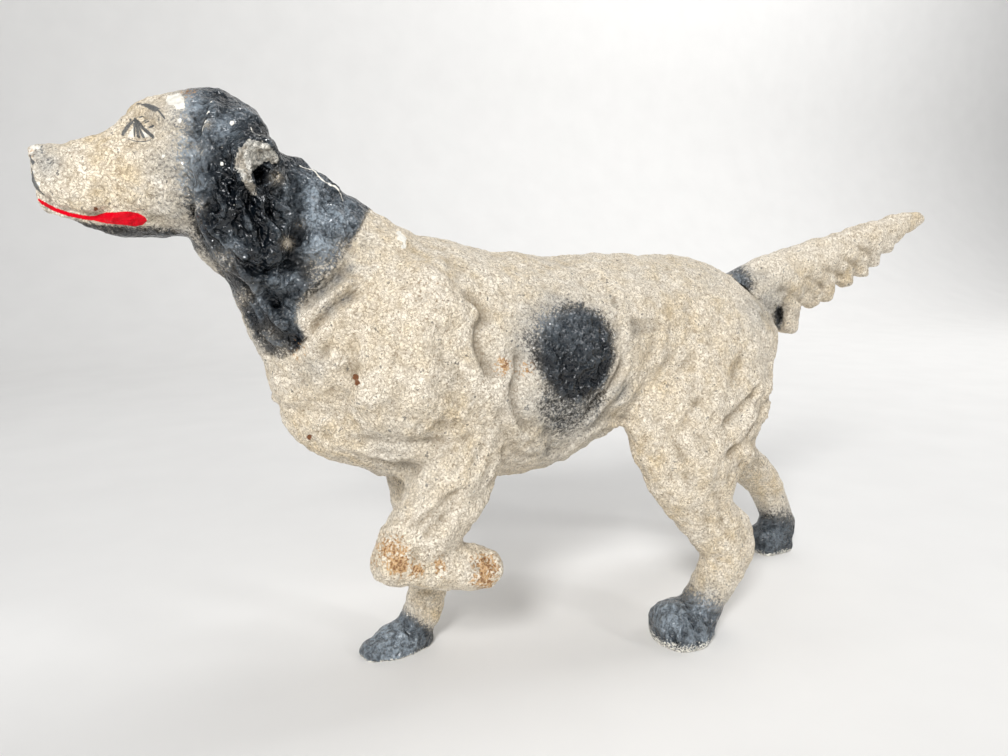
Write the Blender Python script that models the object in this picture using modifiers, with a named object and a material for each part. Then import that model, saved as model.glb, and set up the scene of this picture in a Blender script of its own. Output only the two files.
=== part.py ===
"""Cast-iron doorstop: a setter on point, cast as two hollow halves that two long screws join.

The nose points to -X, the tail to +X, the dog's left side to -Y, and Z is up from the floor.
The halves part on the plane Y = 0, and the tail is cast whole with the right half.
"""

import math

import bmesh
import bpy
from mathutils import Vector

MM = 0.001

# Overall sizes of the figure in millimetres, and the sizes that the stations below are drawn for.
FIGURE_LENGTH = 400.0
FIGURE_WIDTH = 87.6
FIGURE_HEIGHT = 220.0
DRAWN = Vector((400.0, 87.6, 220.0))

# Where each limb stands across the dog.
LEFT_HIND_Y = -29.5
LEFT_FORE_Y = -27.0
RIGHT_HIND_Y = 33.0
RIGHT_FORE_Y = 14.5

# The castings, in millimetres.
WALL = 4.0
PARTING_GAP = 0.3
TAIL_CLEARANCE = 0.65

# The joining screws, in millimetres. Each site is x, z and the skin's distance from the middle.
SCREW_SITES = {"front_screw": (-38.0, 121.0, 40.5), "rear_screw": (44.0, 128.0, 35.0)}
SCREW_DIAMETER = 6.35
SCREW_REACH = 21.0
HEAD_DIAMETER = 11.9
HEAD_HEIGHT = 4.4
HEAD_FULLNESS = 0.8
HEAD_SETTING = 7.5
SLOT_WIDTH = 1.8
SLOT_DEPTH = 2.2
SCREW_CLEARANCE = 0.3
HEAD_CLEARANCE = 0.8
SEAT_GAP = 0.3
SCREW_END_ROOM = 2.0
END_CHAMFER = 0.8
BOSS_WALL = 3.5

# The cast pegs that line the halves up, in millimetres. Each site is x, z and the skin's distance.
PEG_SITES = {"head_peg": (-146.0, 197.0, 22.5), "rump_peg": (66.0, 126.0, 31.0)}
PEG_DIAMETER = 6.0
PEG_REACH = 5.0
PEG_CLEARANCE = 0.3

# How finely the castings are made.
VOXEL = 1.7
SMOOTHING = 0.5
SMOOTHING_PASSES = 4
LEFT_TRIANGLES = 5200
RIGHT_TRIANGLES = 6400
LEFT_SPACE_TRIANGLES = 8000
CORE_TRIANGLES = 900
RING_SIDES = 28
RING_STEP = 3.0
CAP_RINGS = 5
CAP_REACH = 0.55
ROUND_SIDES = 24
HEAD_RINGS = 6
SHARP_ANGLE = 40.0

# A form is a list of stations along its run. Each gives the centre's x, y and z, then the half
# depth, which lies in the side view across the run, and the half width across the dog.
TORSO = [
    (-122, 0, 121, 17, 18),
    (-113, 0, 124, 30, 29),
    (-98, 0, 128, 44, 37),
    (-76, 0, 126, 46.8, 41),
    (-50, 0, 122, 45.4, 41),
    (-32, 0, 122, 45.5, 40),
    (-14, 0, 125.3, 41.4, 39),
    (4, 0, 130.6, 36, 36),
    (24, 0, 131.6, 34, 34),
    (44, 0, 130.5, 34.5, 34),
    (62, 0, 126.3, 30.6, 33),
    (76, 0, 122, 26, 29),
]
BRISKET = [
    (-119.5, 0, 114, 12.5, 14),
    (-110, 0, 108.5, 17.5, 24),
    (-92, 0, 106, 22.5, 31),
    (-66, 0, 102, 24, 37),
]
NECK = [
    (-147, 0, 193, 18, 18),
    (-135, 0, 181.3, 23.7, 20),
    (-122.6, 0, 170.8, 26.1, 23),
    (-109, 0, 154.2, 34.4, 30),
    (-96, 0, 140.2, 39.2, 36),
]
LEFT_SHOULDER = [
    (-78, -15, 153.5, 13.5, 16),
    (-81, -20, 146, 21, 20),
    (-85, -22, 131, 26, 21),
    (-87, -21, 117, 25, 20.5),
    (-88, -18, 107, 18, 18),
]
SKULL = [
    (-168, 0, 198, 13.5, 15),
    (-163, 0, 198, 18, 19),
    (-154, 0, 198, 21.3, 22),
    (-144, 0, 198, 22.1, 23),
    (-136.5, 0, 197.5, 18.5, 17.5),
]
BROW = [
    (-168.3, 0, 209.8, 3.7, 9),
    (-164, 0, 210.3, 4.8, 13),
    (-157, 0, 210.3, 6, 16),
]
MUZZLE = [
    (-194.3, 0, 188.9, 9.8, 8.5),
    (-188, 0, 188.8, 12.9, 11),
    (-178, 0, 188.5, 15.8, 13.5),
    (-166, 0, 190, 18, 17),
    (-154, 0, 190, 18.5, 20),
]
NOSE = [
    (-197.3, 0, 195.2, 4.9, 6),
    (-191, 0, 195.5, 5, 7),
]
LEFT_EAR = [
    (-137, -17, 208, 7, 5),
    (-139.5, -21, 198.5, 10.5, 6.5),
    (-139, -24, 187, 14.5, 7),
    (-139, -25, 176, 14, 7),
    (-137, -25.5, 166, 11, 6.5),
    (-133, -26, 158, 6, 5),
]
LEFT_EAR_FOLD = [
    (-128.5, -27, 192.5, 3, 3),
    (-131.5, -28, 198.5, 3.2, 3.4),
    (-136, -29, 201, 3.2, 3.6),
    (-140, -30, 196, 3.2, 3.6),
    (-139, -31, 189, 3, 3.2),
    (-136, -31, 184, 2.2, 2.6),
]
TAIL = [
    (74, 0, 143.5, 12, 11),
    (96, 0, 149.8, 14.8, 10.5),
    (116, 0, 157, 12.7, 9.5),
    (138, 0, 164, 11.2, 8.5),
    (158, 0, 170.4, 9.9, 7.5),
    (176, 0, 177, 7.7, 6),
    (190, 0, 182.2, 5.2, 5),
    (198.3, 0, 184.3, 3.7, 3.8),
]
# The locks of hair under the tail: root x and z, tip x and z, half thickness. The shape gives, for
# the root, the bend and the tip, the way along and the half depth and width per half thickness.
LOCK_SHAPE = ((0.0, 1.3, 1.3), (0.45, 1.2, 1.2), (1.0, 0.8, 0.9))
TAIL_LOCKS = [
    (106, 148, 112.5, 131, 7.2),
    (118, 152, 127, 143, 6.3),
    (130, 157, 138, 145.4, 5.6),
    (142, 162, 149.5, 151.2, 5.3),
    (152, 166, 160, 156.2, 5),
    (161, 169.5, 168, 161.4, 4.6),
    (170, 173.5, 176, 167.8, 4),
]
LEFT_HIND_LEG = [
    (46, -16, 132, 31, 19),
    (45.5, -21, 113, 36, 18),
    (39.5, -25, 97, 36, 16),
    (37.5, LEFT_HIND_Y + 1, 84, 30, 14.5),
    (38.5, LEFT_HIND_Y, 70, 22, 13),
    (43, LEFT_HIND_Y, 56.5, 13.6, 11),
    (53.5, LEFT_HIND_Y, 44.5, 13.8, 10),
    (57, LEFT_HIND_Y, 37, 13.4, 9.5),
    (53, LEFT_HIND_Y, 28, 10.8, 9),
    (48, LEFT_HIND_Y, 20, 9.8, 9),
    (42, LEFT_HIND_Y, 11, 9, 10),
]
LEFT_HIND_FOOT = [
    (40.5, LEFT_HIND_Y, 5.5, 10.5, 11.5),
    (34.5, LEFT_HIND_Y, 4.5, 13, 14),
    (27, LEFT_HIND_Y, 4, 12.6, 13.2),
]
RIGHT_HIND_LEG = [
    (50, 17, 131, 31, 18),
    (60, 23, 110, 34, 17),
    (78, 28, 88, 25, 14.5),
    (99, 32, 69, 16.5, 12),
    (116.5, RIGHT_HIND_Y, 55.5, 11.6, 10),
    (129, RIGHT_HIND_Y, 45.5, 10.4, 9.5),
    (137.6, RIGHT_HIND_Y, 36, 9.3, 9),
    (143.4, RIGHT_HIND_Y, 24, 8.6, 9),
    (148, RIGHT_HIND_Y, 12, 9.2, 9.6),
]
RIGHT_HIND_FOOT = [
    (149, RIGHT_HIND_Y, 5, 11, 9.8),
    (141, RIGHT_HIND_Y, 4.5, 12, 10.6),
    (134.5, RIGHT_HIND_Y, 4, 11.2, 10.4),
]
LEFT_FORE_LEG = [
    (-68, -19, 108, 28, 18),
    (-69.5, LEFT_FORE_Y + 3, 91, 19.5, 14.5),
    (-73.5, LEFT_FORE_Y + 1, 79, 15.6, 12.5),
    (-79.5, LEFT_FORE_Y, 70, 14.4, 11.5),
    (-87, LEFT_FORE_Y, 62, 13.4, 11),
    (-93.5, LEFT_FORE_Y, 58.2, 10.6, 10.2),
]
LEFT_FORE_PAW = [
    (-97, LEFT_FORE_Y, 57.8, 9.2, 10.2),
    (-82, LEFT_FORE_Y, 52.8, 8.8, 9.5),
    (-70, LEFT_FORE_Y, 50.2, 9, 9.5),
    (-62, LEFT_FORE_Y, 48.3, 8.6, 9.8),
    (-56.5, LEFT_FORE_Y, 46.8, 7.4, 9.2),
]
RIGHT_FORE_LEG = [
    (-73, 18, 104, 23, 16),
    (-71, 17, 84, 15.6, 12.5),
    (-70, 16, 62, 12.4, 10.5),
    (-68, 15, 42, 10.4, 9.5),
    (-68, RIGHT_FORE_Y, 25, 9, 8.6),
    (-71, RIGHT_FORE_Y, 12, 8.2, 8.6),
]
RIGHT_FORE_FOOT = [
    (-72, RIGHT_FORE_Y, 4.5, 9.2, 9),
    (-82, RIGHT_FORE_Y - 1.5, 2.4, 8.4, 10.6),
    (-91, RIGHT_FORE_Y - 2.5, 0.6, 6, 9.6),
    (-97, RIGHT_FORE_Y - 3, -0.4, 4.4, 7),
]

LEFT_PAINT = ((0.72, 0.64, 0.50, 1.0), 0.5, 0.0)
RIGHT_PAINT = ((0.70, 0.62, 0.48, 1.0), 0.5, 0.0)
STEEL = ((0.16, 0.14, 0.13, 1.0), 0.5, 0.9)


def placed(x, y, z):
    """A drawn point, in metres, at the figure's length, width and height."""
    return Vector((
        x * FIGURE_LENGTH / DRAWN.x,
        y * FIGURE_WIDTH / DRAWN.y,
        z * FIGURE_HEIGHT / DRAWN.z,
    )) * MM


def mirrored(form):
    """The same form on the dog's other side."""
    return [(x, -y, z, depth, width) for x, y, z, depth, width in form]


def inset(form, wall):
    """The form with its skin moved inwards by a wall, or outwards by a negative one."""
    return [(x, y, z, depth - wall, width - wall) for x, y, z, depth, width in form]


def lock_form(root_x, root_z, tip_x, tip_z, thickness):
    """One lock of hair, from inside the tail down and back to its rounded tip."""
    run_x = tip_x - root_x
    run_z = tip_z - root_z
    return [
        (root_x + run_x * way, 0, root_z + run_z * way, thickness * deep, thickness * wide)
        for way, deep, wide in LOCK_SHAPE
    ]


def spline(points, t):
    """A Catmull-Rom curve through the stations; t counts stations."""
    last = len(points) - 1
    i = min(int(t), last - 1)
    f = t - i
    p0, p1, p2, p3 = (points[min(max(j, 0), last)] for j in (i - 1, i, i + 1, i + 2))
    return [
        b + 0.5 * f * (c - a + f * (2 * a - 5 * b + 4 * c - d + f * (3 * b - a - 3 * c + d)))
        for a, b, c, d in zip(p0, p1, p2, p3)
    ]


def rings_of(form):
    """Evenly spaced samples along a form, as (centre, tangent, half depth, half width)."""
    samples = []
    for i in range(len(form) - 1):
        length = (Vector(form[i + 1][:3]) - Vector(form[i][:3])).length
        steps = max(2, round(length / RING_STEP))
        samples += [spline(form, i + k / steps) for k in range(steps)]
    samples.append(list(form[-1]))
    centres = [Vector(s[:3]) for s in samples]
    rings = []
    for i, sample in enumerate(samples):
        ahead = centres[min(i + 1, len(centres) - 1)]
        behind = centres[max(i - 1, 0)]
        rings.append((centres[i], (ahead - behind).normalized(), sample[3], sample[4]))
    return rings


def end_cap(ring, outwards):
    """Shrinking rings that round off one end of a form, and the tip that closes it."""
    centre, tangent, depth, width = ring
    reach = min(depth, width) * CAP_REACH * outwards
    capped = []
    for k in range(1, CAP_RINGS):
        angle = math.radians(90) * k / CAP_RINGS
        shrink = math.cos(angle)
        capped.append((centre + tangent * reach * math.sin(angle), tangent, depth * shrink, width * shrink))
    return capped, centre + tangent * reach


def add_form(bm, form):
    """Lofts one form into the mesh as a closed skin of elliptical rings."""
    rings = rings_of(form)
    front, front_tip = end_cap(rings[0], -1)
    back, back_tip = end_cap(rings[-1], 1)
    rings = front[::-1] + rings + back
    loops = []
    for centre, tangent, depth, width in rings:
        across = (Vector((0, 1, 0)) - tangent * tangent.y).normalized()
        upward = tangent.cross(across)
        loop = []
        for k in range(RING_SIDES):
            angle = 2 * math.pi * k / RING_SIDES
            spot = centre + across * width * math.cos(angle) + upward * depth * math.sin(angle)
            loop.append(bm.verts.new(placed(*spot)))
        loops.append(loop)
    for first, second in zip(loops, loops[1:]):
        for k in range(RING_SIDES):
            after = (k + 1) % RING_SIDES
            bm.faces.new((first[k], first[after], second[after], second[k]))
    for loop, tip in ((loops[0][::-1], front_tip), (loops[-1], back_tip)):
        pole = bm.verts.new(placed(*tip))
        for k in range(RING_SIDES):
            bm.faces.new((loop[k], loop[(k + 1) % RING_SIDES], pole))


def made_object(name, bm, collection):
    """A new object holding the mesh."""
    mesh = bpy.data.meshes.new(name)
    bm.to_mesh(mesh)
    bm.free()
    obj = bpy.data.objects.new(name, mesh)
    collection.objects.link(obj)
    return obj


def applied(obj):
    """The object again as a plain mesh, with its modifiers applied."""
    bpy.context.view_layer.update()
    graph = bpy.context.evaluated_depsgraph_get()
    mesh = bpy.data.meshes.new_from_object(obj.evaluated_get(graph))
    obj.modifiers.clear()
    obj.data = mesh
    return obj


def fused(name, forms, triangles, collection):
    """One closed body: overlapping forms melted together, softened and thinned."""
    bm = bmesh.new()
    for form in forms:
        add_form(bm, form)
    bmesh.ops.recalc_face_normals(bm, faces=bm.faces)
    obj = made_object(name, bm, collection)
    melt = obj.modifiers.new("melt", "REMESH")
    melt.mode = "VOXEL"
    melt.voxel_size = VOXEL * MM
    soften = obj.modifiers.new("soften", "SMOOTH")
    soften.factor = SMOOTHING
    soften.iterations = SMOOTHING_PASSES
    applied(obj)
    thin = obj.modifiers.new("thin", "DECIMATE")
    thin.ratio = min(1.0, triangles / (2 * len(obj.data.polygons)))
    applied(obj)
    obj.data.shade_smooth()
    return obj


def block(name, low, high, collection):
    """A closed block between two corners, in metres."""
    bm = bmesh.new()
    bmesh.ops.create_cube(bm, size=1.0)
    for vertex in bm.verts:
        vertex.co = Vector(a + (b - a) * (s + 0.5) for a, b, s in zip(low, high, vertex.co))
    return made_object(name, bm, collection)


def half_space(name, side, gap, collection):
    """A block that holds all of one side of the dog, up to half the gap from the parting plane."""
    far = FIGURE_LENGTH * MM
    edge = side * gap / 2 * MM
    ends = sorted((edge, side * FIGURE_WIDTH * MM))
    return block(name, (-far, ends[0], -far), (far, ends[1], far), collection)


def rod(name, site, y_from, y_to, diameter, collection):
    """A closed cylinder across the dog at a drawn x and z, between two heights y in metres."""
    bm = bmesh.new()
    radius = diameter / 2 * MM
    bmesh.ops.create_cone(
        bm, cap_ends=True, segments=ROUND_SIDES, radius1=radius, radius2=radius, depth=abs(y_to - y_from)
    )
    obj = made_object(name, bm, collection)
    centre = placed(site[0], 0, site[1])
    obj.location = (centre.x, (y_from + y_to) / 2, centre.z)
    obj.rotation_euler = (math.radians(90), 0, 0)
    return obj


def boolean(obj, operation, cutter):
    """An exact Boolean on a casting; the cutter becomes a hidden helper."""
    modifier = obj.modifiers.new(f"{operation.lower()} {cutter.name}", "BOOLEAN")
    modifier.operation = operation
    modifier.object = cutter
    cutter.hide_render = True
    cutter.display_type = "WIRE"


def paint(obj, recipe):
    """Gives a sub-part its own material."""
    colour, roughness, metallic = recipe
    made = bpy.data.materials.new(obj.name + "_finish")
    made.use_nodes = True
    shader = made.node_tree.nodes["Principled BSDF"]
    shader.inputs["Base Color"].default_value = colour
    shader.inputs["Roughness"].default_value = roughness
    shader.inputs["Metallic"].default_value = metallic
    made.diffuse_color = colour
    obj.data.materials.clear()
    obj.data.materials.append(made)
    obj.data.set_sharp_from_angle(angle=math.radians(SHARP_ANGLE))


def below_floor(helpers):
    """Everything below the floor, which cuts the soles flat."""
    far = FIGURE_LENGTH * MM
    return block("below_floor", (-far, -far, -far), (far, far, 0), helpers)


def hollow_core(helpers):
    """The sand core that leaves the trunk, neck and skull hollow."""
    forms = [inset(TORSO[2:-1], WALL), inset(NECK[1:-1], WALL), inset(SKULL[1:-1], WALL)]
    return fused("core", forms, CORE_TRIANGLES, helpers)


def left_side_space(helpers):
    """The room that the left half takes up, with clearance, up to the right half's parting face."""
    forms = [inset(form, -TAIL_CLEARANCE) for form in left_forms()]
    space = fused("left_space", forms, LEFT_SPACE_TRIANGLES, helpers)
    boolean(space, "INTERSECT", half_space("left_of_right_face", -1, -PARTING_GAP, helpers))
    return space


def skin_at(side, skin):
    """The y of the skin on one side, in metres."""
    return side * placed(0, skin, 0).y


def add_boss(half, site, side, diameter, helpers):
    """Casts a boss from the parting face to the middle of the wall."""
    x, z, skin = site
    face = side * PARTING_GAP / 2 * MM
    root = skin_at(side, skin) - side * WALL / 2 * MM
    boss = rod(f"{half.name}_boss_{len(half.modifiers)}", (x, z), face, root, diameter, helpers)
    boolean(half, "UNION", boss)


def drill(half, site, y_from, y_to, diameter, helpers):
    """Drills a round hole across a casting."""
    hole = rod(f"{half.name}_hole_{len(half.modifiers)}", site[:2], y_from, y_to, diameter, helpers)
    boolean(half, "DIFFERENCE", hole)


def seat_height(skin):
    """The y of a screw head's seat in the right half, in metres."""
    return skin_at(1, skin) - HEAD_SETTING * MM


def fit_left(half, helpers):
    """Bosses with blind screw holes, and the locating pegs."""
    for site in SCREW_SITES.values():
        add_boss(half, site, -1, SCREW_DIAMETER + 2 * BOSS_WALL, helpers)
        depth = (SCREW_REACH + SCREW_END_ROOM) * MM
        drill(half, site, WALL * MM, -depth, SCREW_DIAMETER + 2 * SCREW_CLEARANCE, helpers)
    for site in PEG_SITES.values():
        add_boss(half, site, -1, PEG_DIAMETER + 2 * BOSS_WALL, helpers)
        ends = (-WALL * MM, PEG_REACH * MM)
        boolean(half, "UNION", rod(f"peg_{len(half.modifiers)}", site[:2], *ends, PEG_DIAMETER, helpers))


def fit_right(half, helpers):
    """Bosses with clearance holes and sunk seats for the screw heads, and the peg sockets."""
    recess = HEAD_DIAMETER + 2 * HEAD_CLEARANCE
    for site in SCREW_SITES.values():
        add_boss(half, site, 1, recess + 2 * BOSS_WALL, helpers)
        seat = seat_height(site[2])
        outside = skin_at(1, site[2]) + HEAD_SETTING * MM
        drill(half, site, -WALL * MM, outside, SCREW_DIAMETER + 2 * SCREW_CLEARANCE, helpers)
        drill(half, site, seat, outside, recess, helpers)
    for site in PEG_SITES.values():
        add_boss(half, site, 1, PEG_DIAMETER + 2 * BOSS_WALL, helpers)
        depth = (PEG_REACH + PEG_CLEARANCE) * MM
        drill(half, site, -WALL * MM, depth, PEG_DIAMETER + 2 * PEG_CLEARANCE, helpers)


def trunk_forms():
    """What both halves share: half of each lies on either side of the parting plane."""
    return [TORSO, BRISKET, NECK, SKULL, BROW, MUZZLE, NOSE]


def left_forms():
    """Everything the left casting is shaped from, before it is parted and hollowed."""
    limbs = [LEFT_HIND_LEG, LEFT_HIND_FOOT, LEFT_FORE_LEG, LEFT_FORE_PAW]
    return trunk_forms() + [LEFT_SHOULDER, LEFT_EAR, LEFT_EAR_FOLD] + limbs


def right_forms():
    """Everything the right casting is shaped from, with the left side's ear and shoulder mirrored."""
    mirror_pieces = [mirrored(form) for form in (LEFT_SHOULDER, LEFT_EAR, LEFT_EAR_FOLD)]
    limbs = [RIGHT_HIND_LEG, RIGHT_HIND_FOOT, RIGHT_FORE_LEG, RIGHT_FORE_FOOT]
    tail = [TAIL] + [lock_form(*lock) for lock in TAIL_LOCKS]
    return trunk_forms() + mirror_pieces + limbs + tail


def left_half(parts, helpers, core, floor):
    """The left casting: shell, left hind leg and the raised left foreleg."""
    half = fused("left_half", left_forms(), LEFT_TRIANGLES, parts)
    boolean(half, "DIFFERENCE", half_space("right_of_left_face", 1, -PARTING_GAP, helpers))
    boolean(half, "DIFFERENCE", core)
    boolean(half, "DIFFERENCE", floor)
    fit_left(half, helpers)
    paint(half, LEFT_PAINT)


def right_half(parts, helpers, core, floor):
    """The right casting: shell, right hind leg, right foreleg and the whole tail."""
    half = fused("right_half", right_forms(), RIGHT_TRIANGLES, parts)
    boolean(half, "DIFFERENCE", left_side_space(helpers))
    boolean(half, "DIFFERENCE", core)
    boolean(half, "DIFFERENCE", floor)
    fit_right(half, helpers)
    paint(half, RIGHT_PAINT)


def screw(name, parts, helpers):
    """A slotted machine screw, turned, with its head in the right half's seat."""
    x, z, skin = SCREW_SITES[name]
    seat = seat_height(skin)
    length = seat / MM + SEAT_GAP + SCREW_REACH
    radius = SCREW_DIAMETER / 2
    crown = [math.radians(90) * k / HEAD_RINGS for k in range(HEAD_RINGS + 1)]
    profile = [(HEAD_DIAMETER / 2 * math.sin(a), HEAD_HEIGHT * math.cos(a) ** HEAD_FULLNESS) for a in crown]
    profile += [(radius, 0), (radius, END_CHAMFER - length), (radius - END_CHAMFER, -length), (0, -length)]
    bm = bmesh.new()
    points = [bm.verts.new((px * MM, 0, pz * MM)) for px, pz in profile]
    for first, second in zip(points, points[1:]):
        bm.edges.new((first, second))
    obj = made_object(name, bm, parts)
    turn = obj.modifiers.new("turn", "SCREW")
    turn.steps = ROUND_SIDES
    turn.render_steps = ROUND_SIDES
    turn.use_merge_vertices = True
    turn.merge_threshold = 0.00001
    obj.location = (placed(x, 0, z).x, seat + SEAT_GAP * MM, placed(x, 0, z).z)
    obj.rotation_euler = (math.radians(-90), 0, 0)
    top = seat + (SEAT_GAP + HEAD_HEIGHT) * MM
    spot = placed(x, 0, z)
    low = (spot.x - HEAD_DIAMETER * MM, top - SLOT_DEPTH * MM, spot.z - SLOT_WIDTH / 2 * MM)
    high = (spot.x + HEAD_DIAMETER * MM, top + HEAD_HEIGHT * MM, spot.z + SLOT_WIDTH / 2 * MM)
    boolean(obj, "DIFFERENCE", block(name + "_slot", low, high, helpers))
    paint(obj, STEEL)


def main():
    for obj in list(bpy.data.objects):
        bpy.data.objects.remove(obj)
    parts = bpy.data.collections.new("setter_doorstop")
    helpers = bpy.data.collections.new("cutters")
    for collection in (parts, helpers):
        bpy.context.scene.collection.children.link(collection)
    core = hollow_core(helpers)
    floor = below_floor(helpers)
    left_half(parts, helpers, core, floor)
    right_half(parts, helpers, core, floor)
    for name in SCREW_SITES:
        screw(name, parts, helpers)


if __name__ == "__main__":
    main()
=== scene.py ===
"""Looks of the cast-iron setter doorstop, carved and painted around its packed frame.

Each casting starts as a finer copy of its frame node. The coat is carved into it along strokes that
follow the dog's locks and folds. The paint is laid on as densities that the enamel reads.
"""

import math
from collections import namedtuple

import bmesh
import bpy
import numpy as np
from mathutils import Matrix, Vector, kdtree, noise
from mathutils.bvhtree import BVHTree


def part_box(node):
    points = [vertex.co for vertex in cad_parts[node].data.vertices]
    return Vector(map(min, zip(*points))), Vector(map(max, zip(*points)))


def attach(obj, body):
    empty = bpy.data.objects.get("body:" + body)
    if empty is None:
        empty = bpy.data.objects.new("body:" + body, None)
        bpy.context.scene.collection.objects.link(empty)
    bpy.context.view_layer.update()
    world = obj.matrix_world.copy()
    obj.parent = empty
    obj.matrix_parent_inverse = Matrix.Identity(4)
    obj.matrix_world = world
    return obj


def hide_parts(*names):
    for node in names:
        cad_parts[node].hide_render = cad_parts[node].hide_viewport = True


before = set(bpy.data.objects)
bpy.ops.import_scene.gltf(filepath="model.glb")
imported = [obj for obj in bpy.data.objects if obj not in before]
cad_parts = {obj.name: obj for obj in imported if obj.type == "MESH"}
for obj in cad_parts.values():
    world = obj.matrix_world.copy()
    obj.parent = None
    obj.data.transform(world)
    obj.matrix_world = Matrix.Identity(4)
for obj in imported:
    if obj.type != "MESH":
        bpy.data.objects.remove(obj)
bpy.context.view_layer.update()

bl_info = {
    "name": "Setter doorstop looks",
    "version": (1, 0, 0),
    "blender": (4, 5, 0),
    "location": "3D View > Sidebar > Doorstop",
    "description": "Carves, paints and stages a cast-iron setter doorstop around its frame",
    "category": "Object",
}

MM = 0.001
SEED = 7

MATH = "ShaderNodeMath"
MIX = "ShaderNodeMix"
RANGE = "ShaderNodeMapRange"
NOISE = "ShaderNodeTexNoise"

# The photograph's frame and the camera that matches it. A photo pixel below is given in this frame.
PHOTO_SIZE = (1008, 756)
LENS = 27.04
SENSOR = 36.0
CAMERA_PLACE = (-0.1634, -0.2806, 0.1662)
CAMERA_YAW = 24.0
CAMERA_PITCH = 9.36

# The parting face of each half, in millimetres from the middle, and how a point on it is told: how
# near it lies and how squarely it faces. The rim is the outer skin's edge along that face.
LEFT_FACE = -0.15
RIGHT_FACE = 0.15
FACE_REACH = 0.35
FACE_SQUARE = 0.6
RIM_REACH = 1.1

# A sole's points lie this low, in millimetres, and face this squarely down.
SOLE_REACH = 0.6
SOLE_SQUARE = 0.7

# The share of its faces that a casting's plain inside keeps, and how often its outer skin is eased.
INSIDE_SHARE = 0.12
EASING_PASSES = 14

# The coat's forms, in millimetres: their sizes, and the lowest and highest that strokes may reach.
LOCK_SIZE = 3.4
TUFT_SIZES = (9.0, 5.5)
SAND_SIZES = (4.5, 1.9)
RELIEF_RANGE = (-4.2, 3.2)

# The distance from its line at which the coat stops following it, in millimetres, and its way there.
LIE_REACH = 14.0
USUAL_LIE = (0.8, 0.0, -0.6)

# A carved stroke: its profile, half width and height in millimetres, and its line in photo pixels.
Stroke = namedtuple("Stroke", "profile width height line")

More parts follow.
